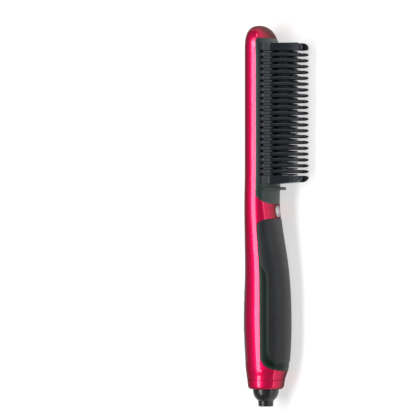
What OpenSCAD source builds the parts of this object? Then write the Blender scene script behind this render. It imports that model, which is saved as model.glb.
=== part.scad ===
// Heated comb hair straightener with a swivelling cord gland.
// Each piece is drawn with X from the tail to the crown, Y out of the back panel, and Z across.
// Depths are measured from the back of the grip towards the comb, so a depth d lies at y = -d.
// laid() then rests the straightener on its side: on its flank, its grip and the tips of its teeth.

/* [Body] */
// Length of the housing from the tail to the crown
body_length = 262; // [256:0.5:270]
// Width of the tail at the cord
tail_width = 25.8; // [25:0.1:27]
// Width just past the end collar
collar_width = 27.8; // [27:0.1:29]
// Width at the heel of the grip
heel_width = 32; // [31:0.1:33]
// Width of the grip at its fullest
grip_width = 34.5; // [33:0.1:36]
// Width of the waist above the grip
waist_width = 33; // [32:0.1:35]
// Width of the neck under the comb
neck_width = 36.8; // [35:0.1:38]
// Width of the head
head_width = 39.2; // [38:0.1:41]
// Depth of the tail at the cord
tail_depth = 25.2; // [24.5:0.1:26]
// Depth just past the end collar
collar_depth = 27.5; // [27:0.1:28.5]
// Depth at the heel of the grip
heel_depth = 30.7; // [30:0.1:32]
// Depth of the grip at its fullest
grip_depth = 33.4; // [32.5:0.1:35]
// Depth at the waist
waist_depth = 30.7; // [30:0.1:32]
// Depth of the neck
neck_depth = 22.8; // [22.5:0.1:24]
// Depth of the head without its comb
head_depth = 22.5; // [22:0.1:23.5]
// Place of the fullest part of the grip, from the tail
grip_place = 48; // [44:0.5:52]
// Place of the waist, from the tail
waist_place = 84; // [80:0.5:88]
// Wall of the back shell
back_wall = 2.4; // [2.2:0.1:2.8]
// Wall of the front shell and of the comb frame
front_wall = 3.2; // [3:0.1:3.6]

/* [End collar] */
// Length of the end collar
collar_length = 7; // [6.5:0.1:7.4]
// Radius that rounds the collar's outer edge
collar_round = 2.3; // [1.5:0.1:2.8]

/* [Back panel] */
// Strip of the shell that shows beside the panel
panel_margin = 4.9; // [4.5:0.1:5.5]
// Thickness of the panel
panel_thick = 1.5; // [1.3:0.1:1.7]
// Distance from the tail to the panel
panel_start = 15; // [14:0.5:16]
// Distance from the crown to the panel
panel_stop = 12; // [11:0.5:14]

/* [Comb] */
// Number of free guard teeth on each side
tooth_count = 21; // [19:1:22]
// Distance from one tooth to the next
tooth_pitch = 4.2; // [4.1:0.05:4.3]
// Thickness of a guard tooth
tooth_thick = 2.5; // [2.4:0.05:2.6]
// Thickness of a guard tooth at its tip
tip_thick = 0.9; // [0.8:0.05:1.1]
// Depth of the tips of the guard teeth
tip_depth = 45.5; // [44.5:0.1:46.5]
// Distance across the two rows of tips, outside to outside
tip_span = 16.6; // [16:0.1:17.2]
// Width of the trough between the two rows
trough_width = 12.4; // [12.1:0.1:12.8]
// Clearance between a heated fin and the guard teeth beside it
fin_gap = 0.3; // [0.25:0.05:0.35]
// Depth of the tips of the heated fins
fin_depth = 38.5; // [37.5:0.1:39.5]

/* [Grip] */
// Distance from the tail to the grip's dark carrier
carrier_start = 13.5; // [13:0.1:14.5]
// Distance from the tail to the soft pad
pad_start = 19.4; // [18.8:0.1:20.5]
// Width of the dark rim that the carrier leaves beside the pad
rim_width = 5.3; // [4.5:0.1:6]
// Length of the bare neck between the pad and the comb frame
neck_band = 10.5; // [10:0.1:12]
// Diameter of the plain disc on the neck
disc_diameter = 8.3; // [7.5:0.1:8.8]

/* [Buttons] */
// Place of the split oval's centre, from the tail
oval_place = 65; // [64:0.25:66]
// Length of the split oval
oval_length = 22.6; // [22:0.1:23.4]
// Width of the split oval
oval_width = 8.6; // [8.2:0.1:9]
// Place of the power button, from the tail
power_place = 42.7; // [42:0.1:43.5]
// Diameter of the power button
power_diameter = 8; // [7.5:0.1:8.4]
// Travel of a button
button_travel = 0.5; // [0.3:0.05:0.6]

/* [Cord gland] */
// Radius of the swivelling ball
ball_radius = 9.4; // [9:0.1:9.6]
// Radius of the gland's neck
neck_radius = 5.5; // [5:0.1:6]
// Distance that the gland stands out of the tail
gland_reach = 12.5; // [11.5:0.1:14]
// Radius of the hole for the cord
cord_radius = 3.3; // [2.8:0.1:3.6]

/* [Fits] */
// Gap between a piece and the pocket that it sits in
seat_gap = 0.2; // [0.1:0.05:0.3]
// Gap round a button in its hole
button_gap = 0.3; // [0.25:0.05:0.4]
// Radial clearance of the turning gland
swivel_gap = 0.05; // [0.03:0.01:0.09]

/* [Hidden] */

// A round part of a piece that is cut or drilled
$fn = 48;
// Extra length that lets a cutting body pass a face
over = 1;

// The comb, from its lower end wall to its upper one
first_wall = 5.95;
last_wall = 5.55;
crown_gap = 12.8;
crown_cover = 3.5;
tooth_gap = tooth_pitch - tooth_thick;
comb_end = body_length - crown_gap;
first_gap_edge = comb_end - last_wall - tooth_count * tooth_pitch - tooth_gap;
comb_start = first_gap_edge - first_wall;
frame_stop = comb_end + crown_cover;
gap_places = [for (i = [0:tooth_count]) first_gap_edge + tooth_gap / 2 + i * tooth_pitch];

// The places along the body that its outline goes through
heel_place = 16;
collar_place = collar_length + 1;
neck_place = comb_start - 18;
shoulder_place = comb_start + 10;
frame_start = comb_start - 14.4;
pad_stop = frame_start - neck_band;
disc_place = (frame_start + pad_stop) / 2;

// Depth of the back surface at each of those places
tail_back = 2.9;
collar_back = 2;
heel_back = 1.2;
waist_back = 1;
neck_back = 1.5;
head_back = 2.3;
// Depth of the parting line between the back shell and what closes it in front
tail_parting = 15.5;
heel_parting = 16.5;
waist_parting = 16;
neck_parting = 13.9;
head_parting = 14.5;

width_curve = [
    [0, tail_width], [collar_place, collar_width], [heel_place, heel_width],
    [grip_place, grip_width], [waist_place, waist_width], [neck_place, neck_width],
    [shoulder_place, head_width], [body_length, head_width]
];
back_curve = [
    [0, tail_back], [collar_place, collar_back], [heel_place, heel_back], [grip_place, 0],
    [waist_place, waist_back], [neck_place, neck_back], [shoulder_place, head_back],
    [body_length, head_back]
];
belly_curve = [
    [0, tail_back + tail_depth], [collar_place, collar_back + collar_depth],
    [heel_place, heel_back + heel_depth], [grip_place, grip_depth],
    [waist_place, waist_back + waist_depth], [neck_place, neck_back + neck_depth],
    [shoulder_place, head_back + head_depth], [body_length, head_back + head_depth]
];
parting_curve = [
    [0, tail_parting], [heel_place, heel_parting], [grip_place, heel_parting],
    [waist_place, waist_parting], [neck_place, neck_parting],
    [shoulder_place, head_parting], [body_length, head_parting]
];
// How square the back of the section is: 2 is an ellipse
back_form_curve = [
    [0, 2.1], [grip_place, 2.3], [waist_place, 2.4], [shoulder_place, 2.8],
    [body_length, 2.8]
];
belly_form = 2.25;

// The crown closes faster across than down its sloping front
crown_depth = 12;
crown_span = 20;
brow_span = 26;

// A smooth curve through a list of [place, value] points
function segment(t, x, i = 0) =
    i >= len(t) - 2 || x < t[i + 1][0] ? i : segment(t, x, i + 1);
function slope(t, i) =
    let (a = t[max(i - 1, 0)], b = t[min(i + 1, len(t) - 1)]) (b[1] - a[1]) / (b[0] - a[0]);
function curve(t, x) =
    let (i = segment(t, x), a = t[i], b = t[i + 1], h = b[0] - a[0], u = (x - a[0]) / h)
    a[1] + (b[1] - a[1]) * u * u * (3 - 2 * u)
    + h * u * (1 - u) * (slope(t, i) * (1 - u) - slope(t, i + 1) * u);

// The share of the full section that is left towards the crown
function dome(x, span, power, root) =
    let (t = (x - body_length + span) / span)
    t <= 0 ? 1 : pow(1 - pow(min(t, 1), power), 1 / root);
function tight(x) = dome(x, crown_span, 3.2, 2.6);
function gentle(x) = dome(x, brow_span, 2, 1.8);

// The section at x: half width, depth of the back, of the belly and of the parting line
function half_width(x) = curve(width_curve, x) / 2 * tight(x);
function back(x) = crown_depth - (crown_depth - curve(back_curve, x)) * tight(x);
function belly(x) = crown_depth + (curve(belly_curve, x) - crown_depth) * gentle(x);
function parting(x) = crown_depth + (curve(parting_curve, x) - crown_depth) * gentle(x);
function back_form(x) = curve(back_form_curve, x);
function signed_power(b, e) = sign(b) * pow(abs(b), e);

// The point of the housing's surface at x, angle a round from the middle of the back, and
// inset below the surface
function skin(x, a, inset = 0) =
    let (
        to_back = cos(a) >= 0,
        reach = (to_back ? parting(x) - back(x) : belly(x) - parting(x)) - inset,
        e = 2 / (to_back ? back_form(x) : belly_form)
    )
    [
        x,
        max(reach, 0.02) * signed_power(cos(a), e) - parting(x),
        max(half_width(x) - inset, 0.02) * signed_power(sin(a), e)
    ];
// The angle at which the back lies z out from the middle
function angle_across(x, z) =
    sign(z) * asin(pow(min(abs(z) / half_width(x), 1), back_form(x) / 2));
// The angle at which the belly side lies at a depth below the parting line
function angle_below(x, d) =
    90 + asin(pow(min(max(d, 0) / (belly(x) - parting(x)), 1), belly_form / 2));

// The places of the rings that the lofts go through, closer together at the crown
crown_rings = 7;
function places(from, to, n) = [for (i = [0:n]) from + (to - from) * i / n];
function ring(x, n, inset = 0) = [for (j = [0:n - 1]) skin(x, -360 * j / n, inset)];
function crown_places(stop) = [
    for (i = [1:crown_rings])
        body_length - crown_span + (stop - body_length + crown_span) * sin(90 * i / crown_rings)
];
housing_places = concat(
    [for (x = places(collar_length, neck_place, 11)) x],
    [for (i = [1:3]) neck_place + (shoulder_place - neck_place) * i / 3],
    [for (i = [1:3]) shoulder_place + (body_length - crown_span - shoulder_place) * i / 3],
    crown_places(body_length - 0.05)
);
hollow_stop = body_length - 3;
outer_sides = 28;
inner_sides = 20;

// A closed skin over rings of points
module loft(rings) {
    n = len(rings[0]);
    last = len(rings) - 1;
    polyhedron(
        [for (r = rings) each r],
        concat(
            [[for (j = [n - 1:-1:0]) j]],
            [for (i = [0:last - 1], j = [0:n - 1]) [i * n + j, i * n + (j + 1) % n, i * n + n + j]],
            [
                for (i = [0:last - 1], j = [0:n - 1])
                    [i * n + (j + 1) % n, i * n + n + (j + 1) % n, i * n + n + j]
            ],
            [[for (j = [0:n - 1]) last * n + j]]
        )
    );
}

// A slab between two grids of points, the first one outside
module slab(outside, inside) {
    rows = len(outside);
    columns = len(outside[0]);
    count = rows * columns;
    function at(i, j) = i * columns + j;
    edge = concat(
        [for (j = [0:columns - 1]) at(0, j)],
        [for (i = [1:rows - 1]) at(i, columns - 1)],
        [for (j = [columns - 2:-1:0]) at(rows - 1, j)],
        [for (i = [rows - 2:-1:1]) at(i, 0)]
    );
    m = len(edge);
    polyhedron(
        concat([for (r = outside) each r], [for (r = inside) each r]),
        concat(
            [for (i = [0:rows - 2], j = [0:columns - 2]) [at(i, j), at(i, j + 1), at(i + 1, j)]],
            [
                for (i = [0:rows - 2], j = [0:columns - 2])
                    [at(i, j + 1), at(i + 1, j + 1), at(i + 1, j)]
            ],
            [
                for (i = [0:rows - 2], j = [0:columns - 2])
                    [count + at(i + 1, j), count + at(i, j + 1), count + at(i, j)]
            ],
            [
                for (i = [0:rows - 2], j = [0:columns - 2])
                    [count + at(i + 1, j), count + at(i + 1, j + 1), count + at(i, j + 1)]
            ],
            [for (k = [0:m - 1]) [edge[k], count + edge[k], edge[(k + 1) % m]]],
            [for (k = [0:m - 1]) [edge[(k + 1) % m], count + edge[k], count + edge[(k + 1) % m]]]
        )
    );
}

function reversed(v) = [for (i = [len(v) - 1:-1:0]) v[i]];

// A body made from an outline of [place, depth] points, as thick as the housing is wide
module across(points, width = 60) {
    translate([0, 0, -width / 2]) linear_extrude(width) polygon([for (p = points) [p[0], -p[1]]]);
}
// A body made from an outline of [depth, z] points, drawn along X
module along(from, to, points) {
    translate([from, 0, 0]) rotate([90, 0, 90]) linear_extrude(to - from)
        polygon([for (p = points) [-p[0], p[1]]]);
}
// A block between two places and two depths, half wide on each side of z
module block(from, to, shallow, deep, half, z = 0) {
    translate([from, -deep, z - half]) cube([to - from, deep - shallow, 2 * half]);
}
// A pin at a place, from one depth to another
module pin(x, z, r, shallow, deep) {
    translate([x, -shallow, z]) rotate([90, 0, 0]) cylinder(r = r, h = deep - shallow);
}
// A flat outline at a place, pulled from one depth to another
module plug(x, shallow, deep) {
    translate([x, -shallow, 0]) rotate([90, 0, 0]) linear_extrude(deep - shallow) children();
}
// A wire between two points given as [place, depth, z]
module wire(a, b, r) {
    from = [a[0], -a[1], a[2]];
    run = [b[0] - a[0], a[1] - b[1], b[2] - a[2]];
    turn = acos(run[2] / norm(run));
    translate(from) rotate([0, turn, atan2(run[1], run[0])]) cylinder(r = r, h = norm(run));
}

// How the straightener rests: a plane under its grip, its head and the tips of its teeth
tip_point = [comb_start + first_wall / 2, -tip_depth, -tip_span / 2];
grip_points = [for (x = places(heel_place, waist_place, 8)) each ring(x, outer_sides)];
head_points = [
    for (x = places(shoulder_place, body_length - crown_span, 4)) each ring(x, outer_sides)
];
function farthest(points, n) =
    let (reach = [for (p = points) p * n]) points[search(max(reach), reach)[0]];
function plane_under(g, h) = let (n = cross(h - g, tip_point - g)) n / norm(n);
function settle(n, turns) =
    turns == 0 ? n
    : settle(plane_under(farthest(grip_points, n), farthest(head_points, n)), turns - 1);
down = settle([0, -0.3, -1], 4);
lean = atan(down[1] / down[2]);
pitch = atan(down[0] / norm([down[1], down[2]]));
rest_height = farthest(head_points, down) * down;
back_reach = max([for (p = concat(grip_points, head_points)) p[1] * cos(lean) - p[2] * sin(lean)]);
comb_reach = tip_depth * cos(lean) + tip_span / 2 * sin(lean);
middle = [(body_length - gland_reach) / 2, (back_reach - comb_reach) / 2];

module laid(shade) {
    color(shade) translate([-middle[0], -middle[1], rest_height])
        rotate([0, pitch, 0]) rotate([lean, 0, 0]) children();
}

// The rails of the guard comb, behind the bands of the comb frame
rail_half = head_width / 2 - back_wall - 1.2;
rail_width = 3.4;

// Depths of the pieces stacked inside the head
bar_depth = 17.5;
bar_thick = 4.9;
bar_half = rail_half - rail_width - 3.3;
element_thick = 1.3;
sheet_thick = 0.8;
clamp_thick = 0.6;
tray_thick = 1.8;
floor_depth = bar_depth + bar_thick;
element_depth = bar_depth - element_thick;
sheet_depth = element_depth - sheet_thick;
clamp_depth = sheet_depth - clamp_thick;
tray_depth = clamp_depth - tray_thick;
element_half = bar_half - 3.3;
heater_start = first_gap_edge;
heater_stop = comb_end - last_wall;

// The boards in the handle, and the display behind the panel
board_thick = 1.2;
switch_height = 3.5;
control_depth = 7.8;
control_half = 6.8;
control_start = power_place - 6.7;
control_stop = frame_start + 0.6;
display_start = oval_place + oval_length / 2 + 12.2;
display_stop = frame_start - 5.9;
display_half = 5.2;
opening_half = 5.6;
opening_depth = 5;
power_depth = 20;
power_thick = 1.6;
power_half = 10.5;
power_start = power_place - 8.7;
power_stop = pad_stop - 18.9;

// The comb frame: its window, and the bands that are left beside the window
band_width = 2.7;
band_depth = head_parting + band_width;
frame_round = 7;
frame_bend = 10.5;
frame_corner = 3.2;

red = "crimson";
black = "#23272b";
silver = "#c8c4cc";

// Screws that close the housing, as [place, z]
housing_screw_places = [
    [power_start - 7, 0], [pad_stop - 11, power_half - 0.7], [pad_stop - 11, 0.7 - power_half]
];
heater_screw_places = [
    for (x = [heater_start + 8, heater_stop - 8], side = [-1, 1]) [x, side * element_half]
];
boss_radius = 2.7;
screw_radius = 1.2;
screw_head_radius = 2;
screw_head_height = 1.4;
screw_ledge = 1.5;
screw_gap = 0.1;
post_radius = 1.8;
board_post_places = [
    for (x = [display_start - 5.5, display_stop + 3], side = [-1, 1]) [x, side * (control_half - 2.2)]
];
power_post_places = [
    for (x = [power_start + 6, power_stop - 6], side = [-1, 1]) [x, side * (power_half - 2.5)]
];

// Depth of the back and of the belly side at x and z
function back_at(x, z) =
    parting(x) - (parting(x) - back(x))
    * pow(1 - pow(abs(z) / half_width(x), back_form(x)), 1 / back_form(x));
function belly_at(x, z) =
    parting(x) + (belly(x) - parting(x))
    * pow(1 - pow(abs(z) / half_width(x), belly_form), 1 / belly_form);
// Depth just under the panel, at a place and as far out as the edge of what lies there
function under_panel(x, z) = back_at(x, z) + panel_thick + seat_gap;
// Depth of the seat under a screw's head, and of a housing screw's pilot hole
function screw_seat(p) = under_panel(p[0], abs(p[1]) + screw_head_radius) + screw_head_height;
function pilot_end(p) = belly_at(p[0], p[1]) - boss_root - 1;

// The region in front of the parting line, from one place to another
far = 60;
parting_steps = 48;
module front_region(from, to) {
    intersection() {
        across(concat(
            [for (x = places(-over, body_length, parting_steps)) [x, parting(x)]],
            [[body_length, far], [-over, far]]
        ));
        block(from, to, -over, far + over, far);
    }
}

// The panel's outline: its sides keep the margin, and its ends are flat arcs
panel_low_rise = 6.7;
panel_high_rise = 4.4;
panel_steps = 12;
function panel_half(x) = curve(width_curve, x) / 2 - panel_margin;
function panel_end(place, rise, s, grow) =
    let (x = place + rise * pow(abs(s), 2.5)) [x, s * (panel_half(x) + grow)];
function panel_outline(grow) =
    let (
        low = panel_start - grow,
        high = body_length - panel_stop + grow,
        side = [
            for (x = places(low + panel_low_rise, high - panel_high_rise, panel_steps))
                [x, panel_half(x) + grow]
        ]
    )
    concat(
        side,
        [for (s = [0.84:-0.168:-0.85]) panel_end(high, -panel_high_rise, s, grow)],
        reversed([for (p = side) [p[0], -p[1]]]),
        [for (s = [-0.84:0.168:0.85]) panel_end(low, panel_low_rise, s, grow)]
    );
module panel_prism(grow) {
    plug(0, -5, 12) polygon(panel_outline(grow));
}
function shell_rings(sides, inset, stop = body_length) = [
    for (x = housing_places) if (x < stop) ring(x, sides, inset)
];

// The grip: a pad in a carrier whose dark rim shows beside it from the heel to the waist
rim_taper_place = 92;
rim_taper = 9;
grip_rows = 12;
grip_columns = 14;
grip_low_rise = 12.5;
grip_high_rise = 6.7;
pad_thick = 1.2;
pad_proud = 0.45;
carrier_thick = 2;
boss_root = carrier_thick + seat_gap + 0.3;
function ease(u) = let (v = min(max(u, 0), 1)) v * v * (3 - 2 * v);
function pad_sink(x) = 2 * seat_gap + rim_width * ease((rim_taper_place - x) / rim_taper);
function end_rise(s) = 1 - pow(1 - pow(abs(s), 3), 1 / 3);
// A grid over the belly side between two arched ends, widened by an angle at its sides
function belly_patch(low, high, inset, widen, is_pad) = [
    for (i = [0:grip_rows])
        [
            for (j = [0:grip_columns])
                let (
                    s = sin(90 * (2 * j / grip_columns - 1)),
                    from = low + grip_low_rise * end_rise(s),
                    to = high - grip_high_rise * end_rise(s),
                    x = from + (to - from) * i / grip_rows,
                    edge = angle_below(x, is_pad ? pad_sink(x) : seat_gap) - widen
                )
                skin(x, 180 - (180 - edge) * s, inset)
        ]
];
pocket_widen = 1.4;
function carrier_grid(inset, grow = 0, widen = 0) =
    belly_patch(carrier_start - grow, pad_stop + grow, inset, widen, false);
function pad_grid(inset, grow = 0, widen = 0) =
    belly_patch(pad_start - grow, pad_stop + grow, inset, widen, true);

// Back shell: one moulding that runs from the end collar over the crown
module back_shell() laid(red) {
    difference() {
        union() {
            difference() {
                loft(shell_rings(outer_sides, 0));
                loft(concat(
                    [ring(collar_length - over, inner_sides, back_wall)],
                    shell_rings(inner_sides, back_wall, hollow_stop - 2),
                    [ring(hollow_stop, inner_sides, back_wall)]
                ));
                difference() {
                    front_region(-over, frame_stop);
                    top_corner(0);
                }
            }
            for (p = housing_screw_places)
                pin(p[0], p[1], boss_radius, back(p[0]) + over, parting(p[0]) - seat_gap);
            for (p = board_post_places)
                pin(p[0], p[1], post_radius, back(p[0]) + over, control_depth);
            for (p = heater_screw_places)
                pin(p[0], p[1], boss_radius, back(p[0]) + over, screw_seat(p) + screw_ledge);
        }
        difference() {
            panel_prism(seat_gap / 2);
            loft(shell_rings(outer_sides, panel_thick + seat_gap / 2, hollow_stop));
        }
        block(power_place - power_diameter / 2 - over, oval_place + oval_length / 2 + 1.5,
            -over, opening_depth, opening_half);
        block(display_start - seat_gap, display_stop + seat_gap, -over, opening_depth,
            opening_half);
        for (p = concat(housing_screw_places, heater_screw_places)) {
            pin(p[0], p[1], screw_head_radius + screw_gap, -over, screw_seat(p));
            pin(p[0], p[1], screw_radius + screw_gap, -over, far / 2);
        }
    }
}

disc_thick = 1.1;

// Front shell: the belly side of the handle, up to the comb frame
module front_shell() laid(red) {
    difference() {
        union() {
            intersection() {
                difference() {
                    loft([for (x = housing_places) if (x < shoulder_place) ring(x, outer_sides)]);
                    loft([
                        for (x = concat(
                            [collar_length - over],
                            [for (x = places(collar_length + 2, shoulder_place + over, 8)) x]
                        )) ring(x, inner_sides, front_wall)
                    ]);
                }
                front_region(collar_length - over, frame_start + frame_round + 2);
            }
            for (p = housing_screw_places)
                pin(p[0], p[1], boss_radius, parting(p[0]) + seat_gap,
                    belly_at(p[0], p[1]) - boss_root);
            for (p = power_post_places)
                pin(p[0], p[1], post_radius, power_depth + power_thick,
                    belly_at(p[0], p[1]) - boss_root);
        }
        slab(
            carrier_grid(-3, seat_gap, pocket_widen),
            carrier_grid(carrier_thick + seat_gap / 2, seat_gap, pocket_widen)
        );
        pin(disc_place, 0, disc_diameter / 2 + seat_gap / 2, belly(disc_place) - disc_thick, far);
        for (p = housing_screw_places)
            pin(p[0], p[1], screw_radius + screw_gap / 2, back(p[0]), pilot_end(p));
        frame_region(seat_gap / 2, far);
    }
}

// The comb frame's lower end as seen from the side, and all that lies above it
module frame_region(grow, depth) {
    edge = [
        for (t = places(0, 1, 8))
            [
                frame_start - grow + frame_round * pow(1 - t, 2),
                head_parting - over + (frame_bend + over) * t
            ]
    ];
    across(concat(edge, [
        [frame_start - grow, depth], [frame_stop, depth],
        [frame_stop, head_parting / 3], [frame_start + frame_round, head_parting / 3]
    ]));
}

// The shell's share of the frame's rounded upper corner
module top_corner(grow) {
    r = frame_corner - grow;
    across(concat(
        [
            [frame_stop + over, head_parting - 2 * over],
            [frame_stop - frame_corner, head_parting - 2 * over]
        ],
        [
            for (a = [0:22.5:90])
                [
                    frame_stop - frame_corner + r * sin(a),
                    parting(frame_stop) + frame_corner - r * cos(a)
                ]
        ],
        [[frame_stop + over, parting(frame_stop) + frame_corner]]
    ));
}

// Comb frame: the black moulding round the comb, with a window for the teeth
module comb_frame() laid(black) {
    difference() {
        intersection() {
            difference() {
                loft([
                    for (x = concat(places(frame_start - 3, shoulder_place, 5),
                        places(shoulder_place + 20, frame_stop + 2, 4))) ring(x, outer_sides)
                ]);
                loft([
                    for (x = concat([frame_start - 4], places(frame_start + 3, shoulder_place, 3),
                        [comb_end + seat_gap])) ring(x, inner_sides, back_wall)
                ]);
            }
            front_region(frame_start - 2, frame_stop - seat_gap / 2);
            frame_region(0, far);
        }
        top_corner(seat_gap / 2);
        across([
            [comb_start - seat_gap, band_depth], [comb_end + seat_gap, band_depth],
            [comb_end + seat_gap, far], [comb_start - seat_gap, far]
        ]);
        block(comb_start - seat_gap, comb_end + seat_gap, 0, band_depth + over,
            rail_half + seat_gap);
    }
    ridge();
}

// The low wall across the frame below the comb
ridge_thick = 2.2;
ridge_gap = 2.2;
ridge_rise = 4.8;
ridge_half = 6;
module ridge() {
    root = belly(comb_start);
    side = [
        [root - 7, 3.05 * ridge_half], [root - 4.5, 2.9 * ridge_half], [root - 1.2, 2.35 * ridge_half],
        [root + ridge_rise / 2, 1.65 * ridge_half], [root + ridge_rise, ridge_half]
    ];
    difference() {
        along(comb_start - ridge_gap - ridge_thick, comb_start - ridge_gap,
            concat(side, reversed([for (p = side) [p[0], -p[1]]])));
        loft([for (x = [comb_start - 3 * ridge_thick, comb_start]) ring(x, inner_sides, back_wall)]);
    }
}

// Outline of the guard comb from the side: rail, end walls, gaps and rounded tips
rail_depth = head_parting - 1.3;
slot_width = 1.4;
slot_depth = band_depth + 0.4;
root_depth = band_depth + 2.3;
drop_depth = root_depth + 2.8;
web_depth = drop_depth + 2;
taper_depth = tip_depth - 9;
// How a tip narrows: distance from the tip, and share of the narrowing that is reached there
tip_form = [[0, 1], [0.7, 0.72], [1.8, 0.4], [3.3, 0.15], [5.3, 0]];
tip_cut = (tooth_thick - tip_thick) / 2;
function gap_side(x, side) = [
    for (p = tip_form) [x + side * (tooth_gap / 2 + p[1] * tip_cut), tip_depth - p[0]]
];
function gap_outline(x) = concat(
    gap_side(x, -1),
    [
        [x - tooth_gap / 2, web_depth + tooth_gap / 4], [x - tooth_gap / 4, web_depth],
        [x + tooth_gap / 4, web_depth], [x + tooth_gap / 2, web_depth + tooth_gap / 4]
    ],
    reversed(gap_side(x, 1))
);
corner = 4;
foot_lean = 1.3;
foot_round = 2.7;
comb_outline = concat(
    [
        [comb_start, rail_depth], [comb_start, belly(comb_start)],
        [comb_start + foot_lean, tip_depth - foot_round],
        [comb_start + foot_lean + foot_round, tip_depth]
    ],
    [for (x = gap_places) each gap_outline(x)],
    [
        for (a = [90:-22.5:0])
            [comb_end - corner + corner * cos(a), tip_depth - corner + corner * sin(a)]
    ],
    [[comb_end, rail_depth]]
);

// Section of the guard comb: the flank flush with the frame, the tapering teeth, the trough
cage_place = (comb_start + comb_end) / 2;
trough_floor = floor_depth + 2.8;
function cage_side(side) = concat(
    [
        [rail_depth, side * (rail_half - rail_width)], [rail_depth, side * rail_half],
        [band_depth + seat_gap, side * rail_half]
    ],
    [
        for (d = [band_depth + seat_gap:1.25:drop_depth])
            let (p = skin(cage_place, angle_below(cage_place, d - head_parting)))
            [-p[1], side * p[2]]
    ],
    [
        [drop_depth + 7, side * (tip_span / 2 + 2.4)], [taper_depth, side * (tip_span / 2 + 0.5)],
        [tip_depth - 1.5, side * tip_span / 2], [tip_depth, side * (tip_span / 2 - 0.6)],
        [tip_depth, side * (trough_width / 2 + 0.5)], [tip_depth - 1.5, side * trough_width / 2],
        [trough_floor, side * trough_width / 2]
    ]
);
cage_section = concat(
    cage_side(1), reversed(cage_side(-1)),
    [
        [root_depth, -(rail_half - rail_width)], [floor_depth, -bar_half - seat_gap],
        [floor_depth, bar_half + seat_gap], [root_depth, rail_half - rail_width]
    ]
);

// Guard comb: two rows of cool teeth joined by webs at their roots, so they straddle the fins
wall_ledge = 1.5;
wall_drop = 5;
module guard_comb() laid("#2b2f36") {
    difference() {
        intersection() {
            union() {
                along(comb_start, comb_end, cage_section);
                block(comb_start, comb_start + first_wall - wall_ledge, trough_floor - over,
                    tip_depth - wall_drop, trough_width / 2 + over);
                block(comb_end - last_wall + wall_ledge, comb_end, trough_floor - over,
                    tip_depth - wall_drop, trough_width / 2 + over);
            }
            across(comb_outline);
        }
        for (x = gap_places) {
            block(x - slot_width / 2, x + slot_width / 2, slot_depth, root_depth, far);
            block(x - tooth_gap / 2, x + tooth_gap / 2, root_depth, trough_floor + over,
                fin_half + fin_gap);
        }
    }
}

// Heating comb: a bar with a fin in each gap of the guard comb
fin_thick = tooth_gap - 2 * fin_gap;
fin_tip_thick = 0.6 * fin_thick;
fin_half = trough_width / 2 - 0.4;
fin_tip_half = fin_half - 1.4;
function fin_outline(x) = [
    [x - fin_thick / 2, floor_depth], [x - fin_thick / 2, fin_depth - 5],
    [x - fin_tip_thick / 2, fin_depth], [x + fin_tip_thick / 2, fin_depth],
    [x + fin_thick / 2, fin_depth - 5], [x + fin_thick / 2, floor_depth]
];
module heating_comb() laid("#4a4d55") {
    intersection() {
        along(heater_start, heater_stop, [
            [bar_depth, bar_half], [floor_depth, bar_half], [floor_depth, fin_half],
            [fin_depth - 4, fin_half], [fin_depth - 1.2, fin_tip_half + 0.6],
            [fin_depth, fin_tip_half - 0.6], [fin_depth, 0.6 - fin_tip_half],
            [fin_depth - 1.2, -fin_tip_half - 0.6], [fin_depth - 4, -fin_half],
            [floor_depth, -fin_half], [floor_depth, -bar_half], [bar_depth, -bar_half]
        ]);
        across(concat(
            [[heater_start + seat_gap / 2, bar_depth], [heater_start + seat_gap / 2, floor_depth]],
            [for (x = gap_places) each fin_outline(x)],
            [[heater_stop - seat_gap / 2, floor_depth], [heater_stop - seat_gap / 2, bar_depth]]
        ));
    }
}

// Ceramic heater under the bar
element_start = heater_start + 0.5;
element_stop = heater_stop - 14;
module heater_element() laid("#e9e4d8")
    block(element_start, element_stop, element_depth, bar_depth, element_half);

// Mica sheet behind the heater
sheet_start = heater_start + 3;
module heater_insulator() laid("#b9a26a")
    block(sheet_start, element_stop, sheet_depth, element_depth, element_half + 1);

// Steel plate that presses the heater to the bar
module heater_clamp() laid("#a9acb0")
    block(sheet_start, element_stop, clamp_depth, sheet_depth, element_half + 1);

// Heat-proof tray that carries the heater and the bar on the back shell
tray_stop = heater_stop - 0.5;
tray_wall = 1.6;
tray_gap = 0.3;
module heater_carrier() laid("#d9d2c2") {
    difference() {
        union() {
            block(sheet_start, tray_stop, tray_depth, clamp_depth,
                bar_half + tray_gap + tray_wall);
            for (side = [-1, 1])
                block(sheet_start, tray_stop, tray_depth, floor_depth - 2, tray_wall / 2,
                    side * (bar_half + tray_gap + tray_wall / 2));
            for (p = heater_screw_places)
                pin(p[0], p[1], boss_radius, screw_seat(p) + screw_ledge, tray_depth + over / 2);
        }
        for (p = heater_screw_places)
            pin(p[0], p[1], screw_radius + screw_gap / 2, 0, clamp_depth - 0.4);
    }
}

// Glass-bead sensor and thermal cut-out, both against the bar past the end of the heater
sensor_radius = 0.9;
sensor_side = 4;
sensor_length = 6.5;
fuse_radius = (bar_depth - clamp_depth) / 2 - 0.1;
fuse_length = 9;
sensor_start = element_stop + 1.5;
module temperature_sensor() laid("#c06a3a") {
    depth = bar_depth - sensor_radius - 0.1;
    wire([sensor_start, depth, -sensor_side], [sensor_start + sensor_length, depth, -sensor_side],
        sensor_radius);
}
module thermal_fuse() laid("#d8d8dc") {
    depth = (bar_depth + clamp_depth) / 2;
    wire([sensor_start, depth, sensor_side], [sensor_start + fuse_length, depth, sensor_side],
        fuse_radius);
}

// Sleeved leads from the power board to the heater
lead_radius = 0.9;
module heater_leads() laid("#e8e8e0")
    for (z = [-sensor_side, sensor_side])
        wire([power_stop - 4, power_depth - lead_radius - 0.2, z],
            [heater_start + 0.2, bar_depth - lead_radius - 0.2, z], lead_radius);

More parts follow.
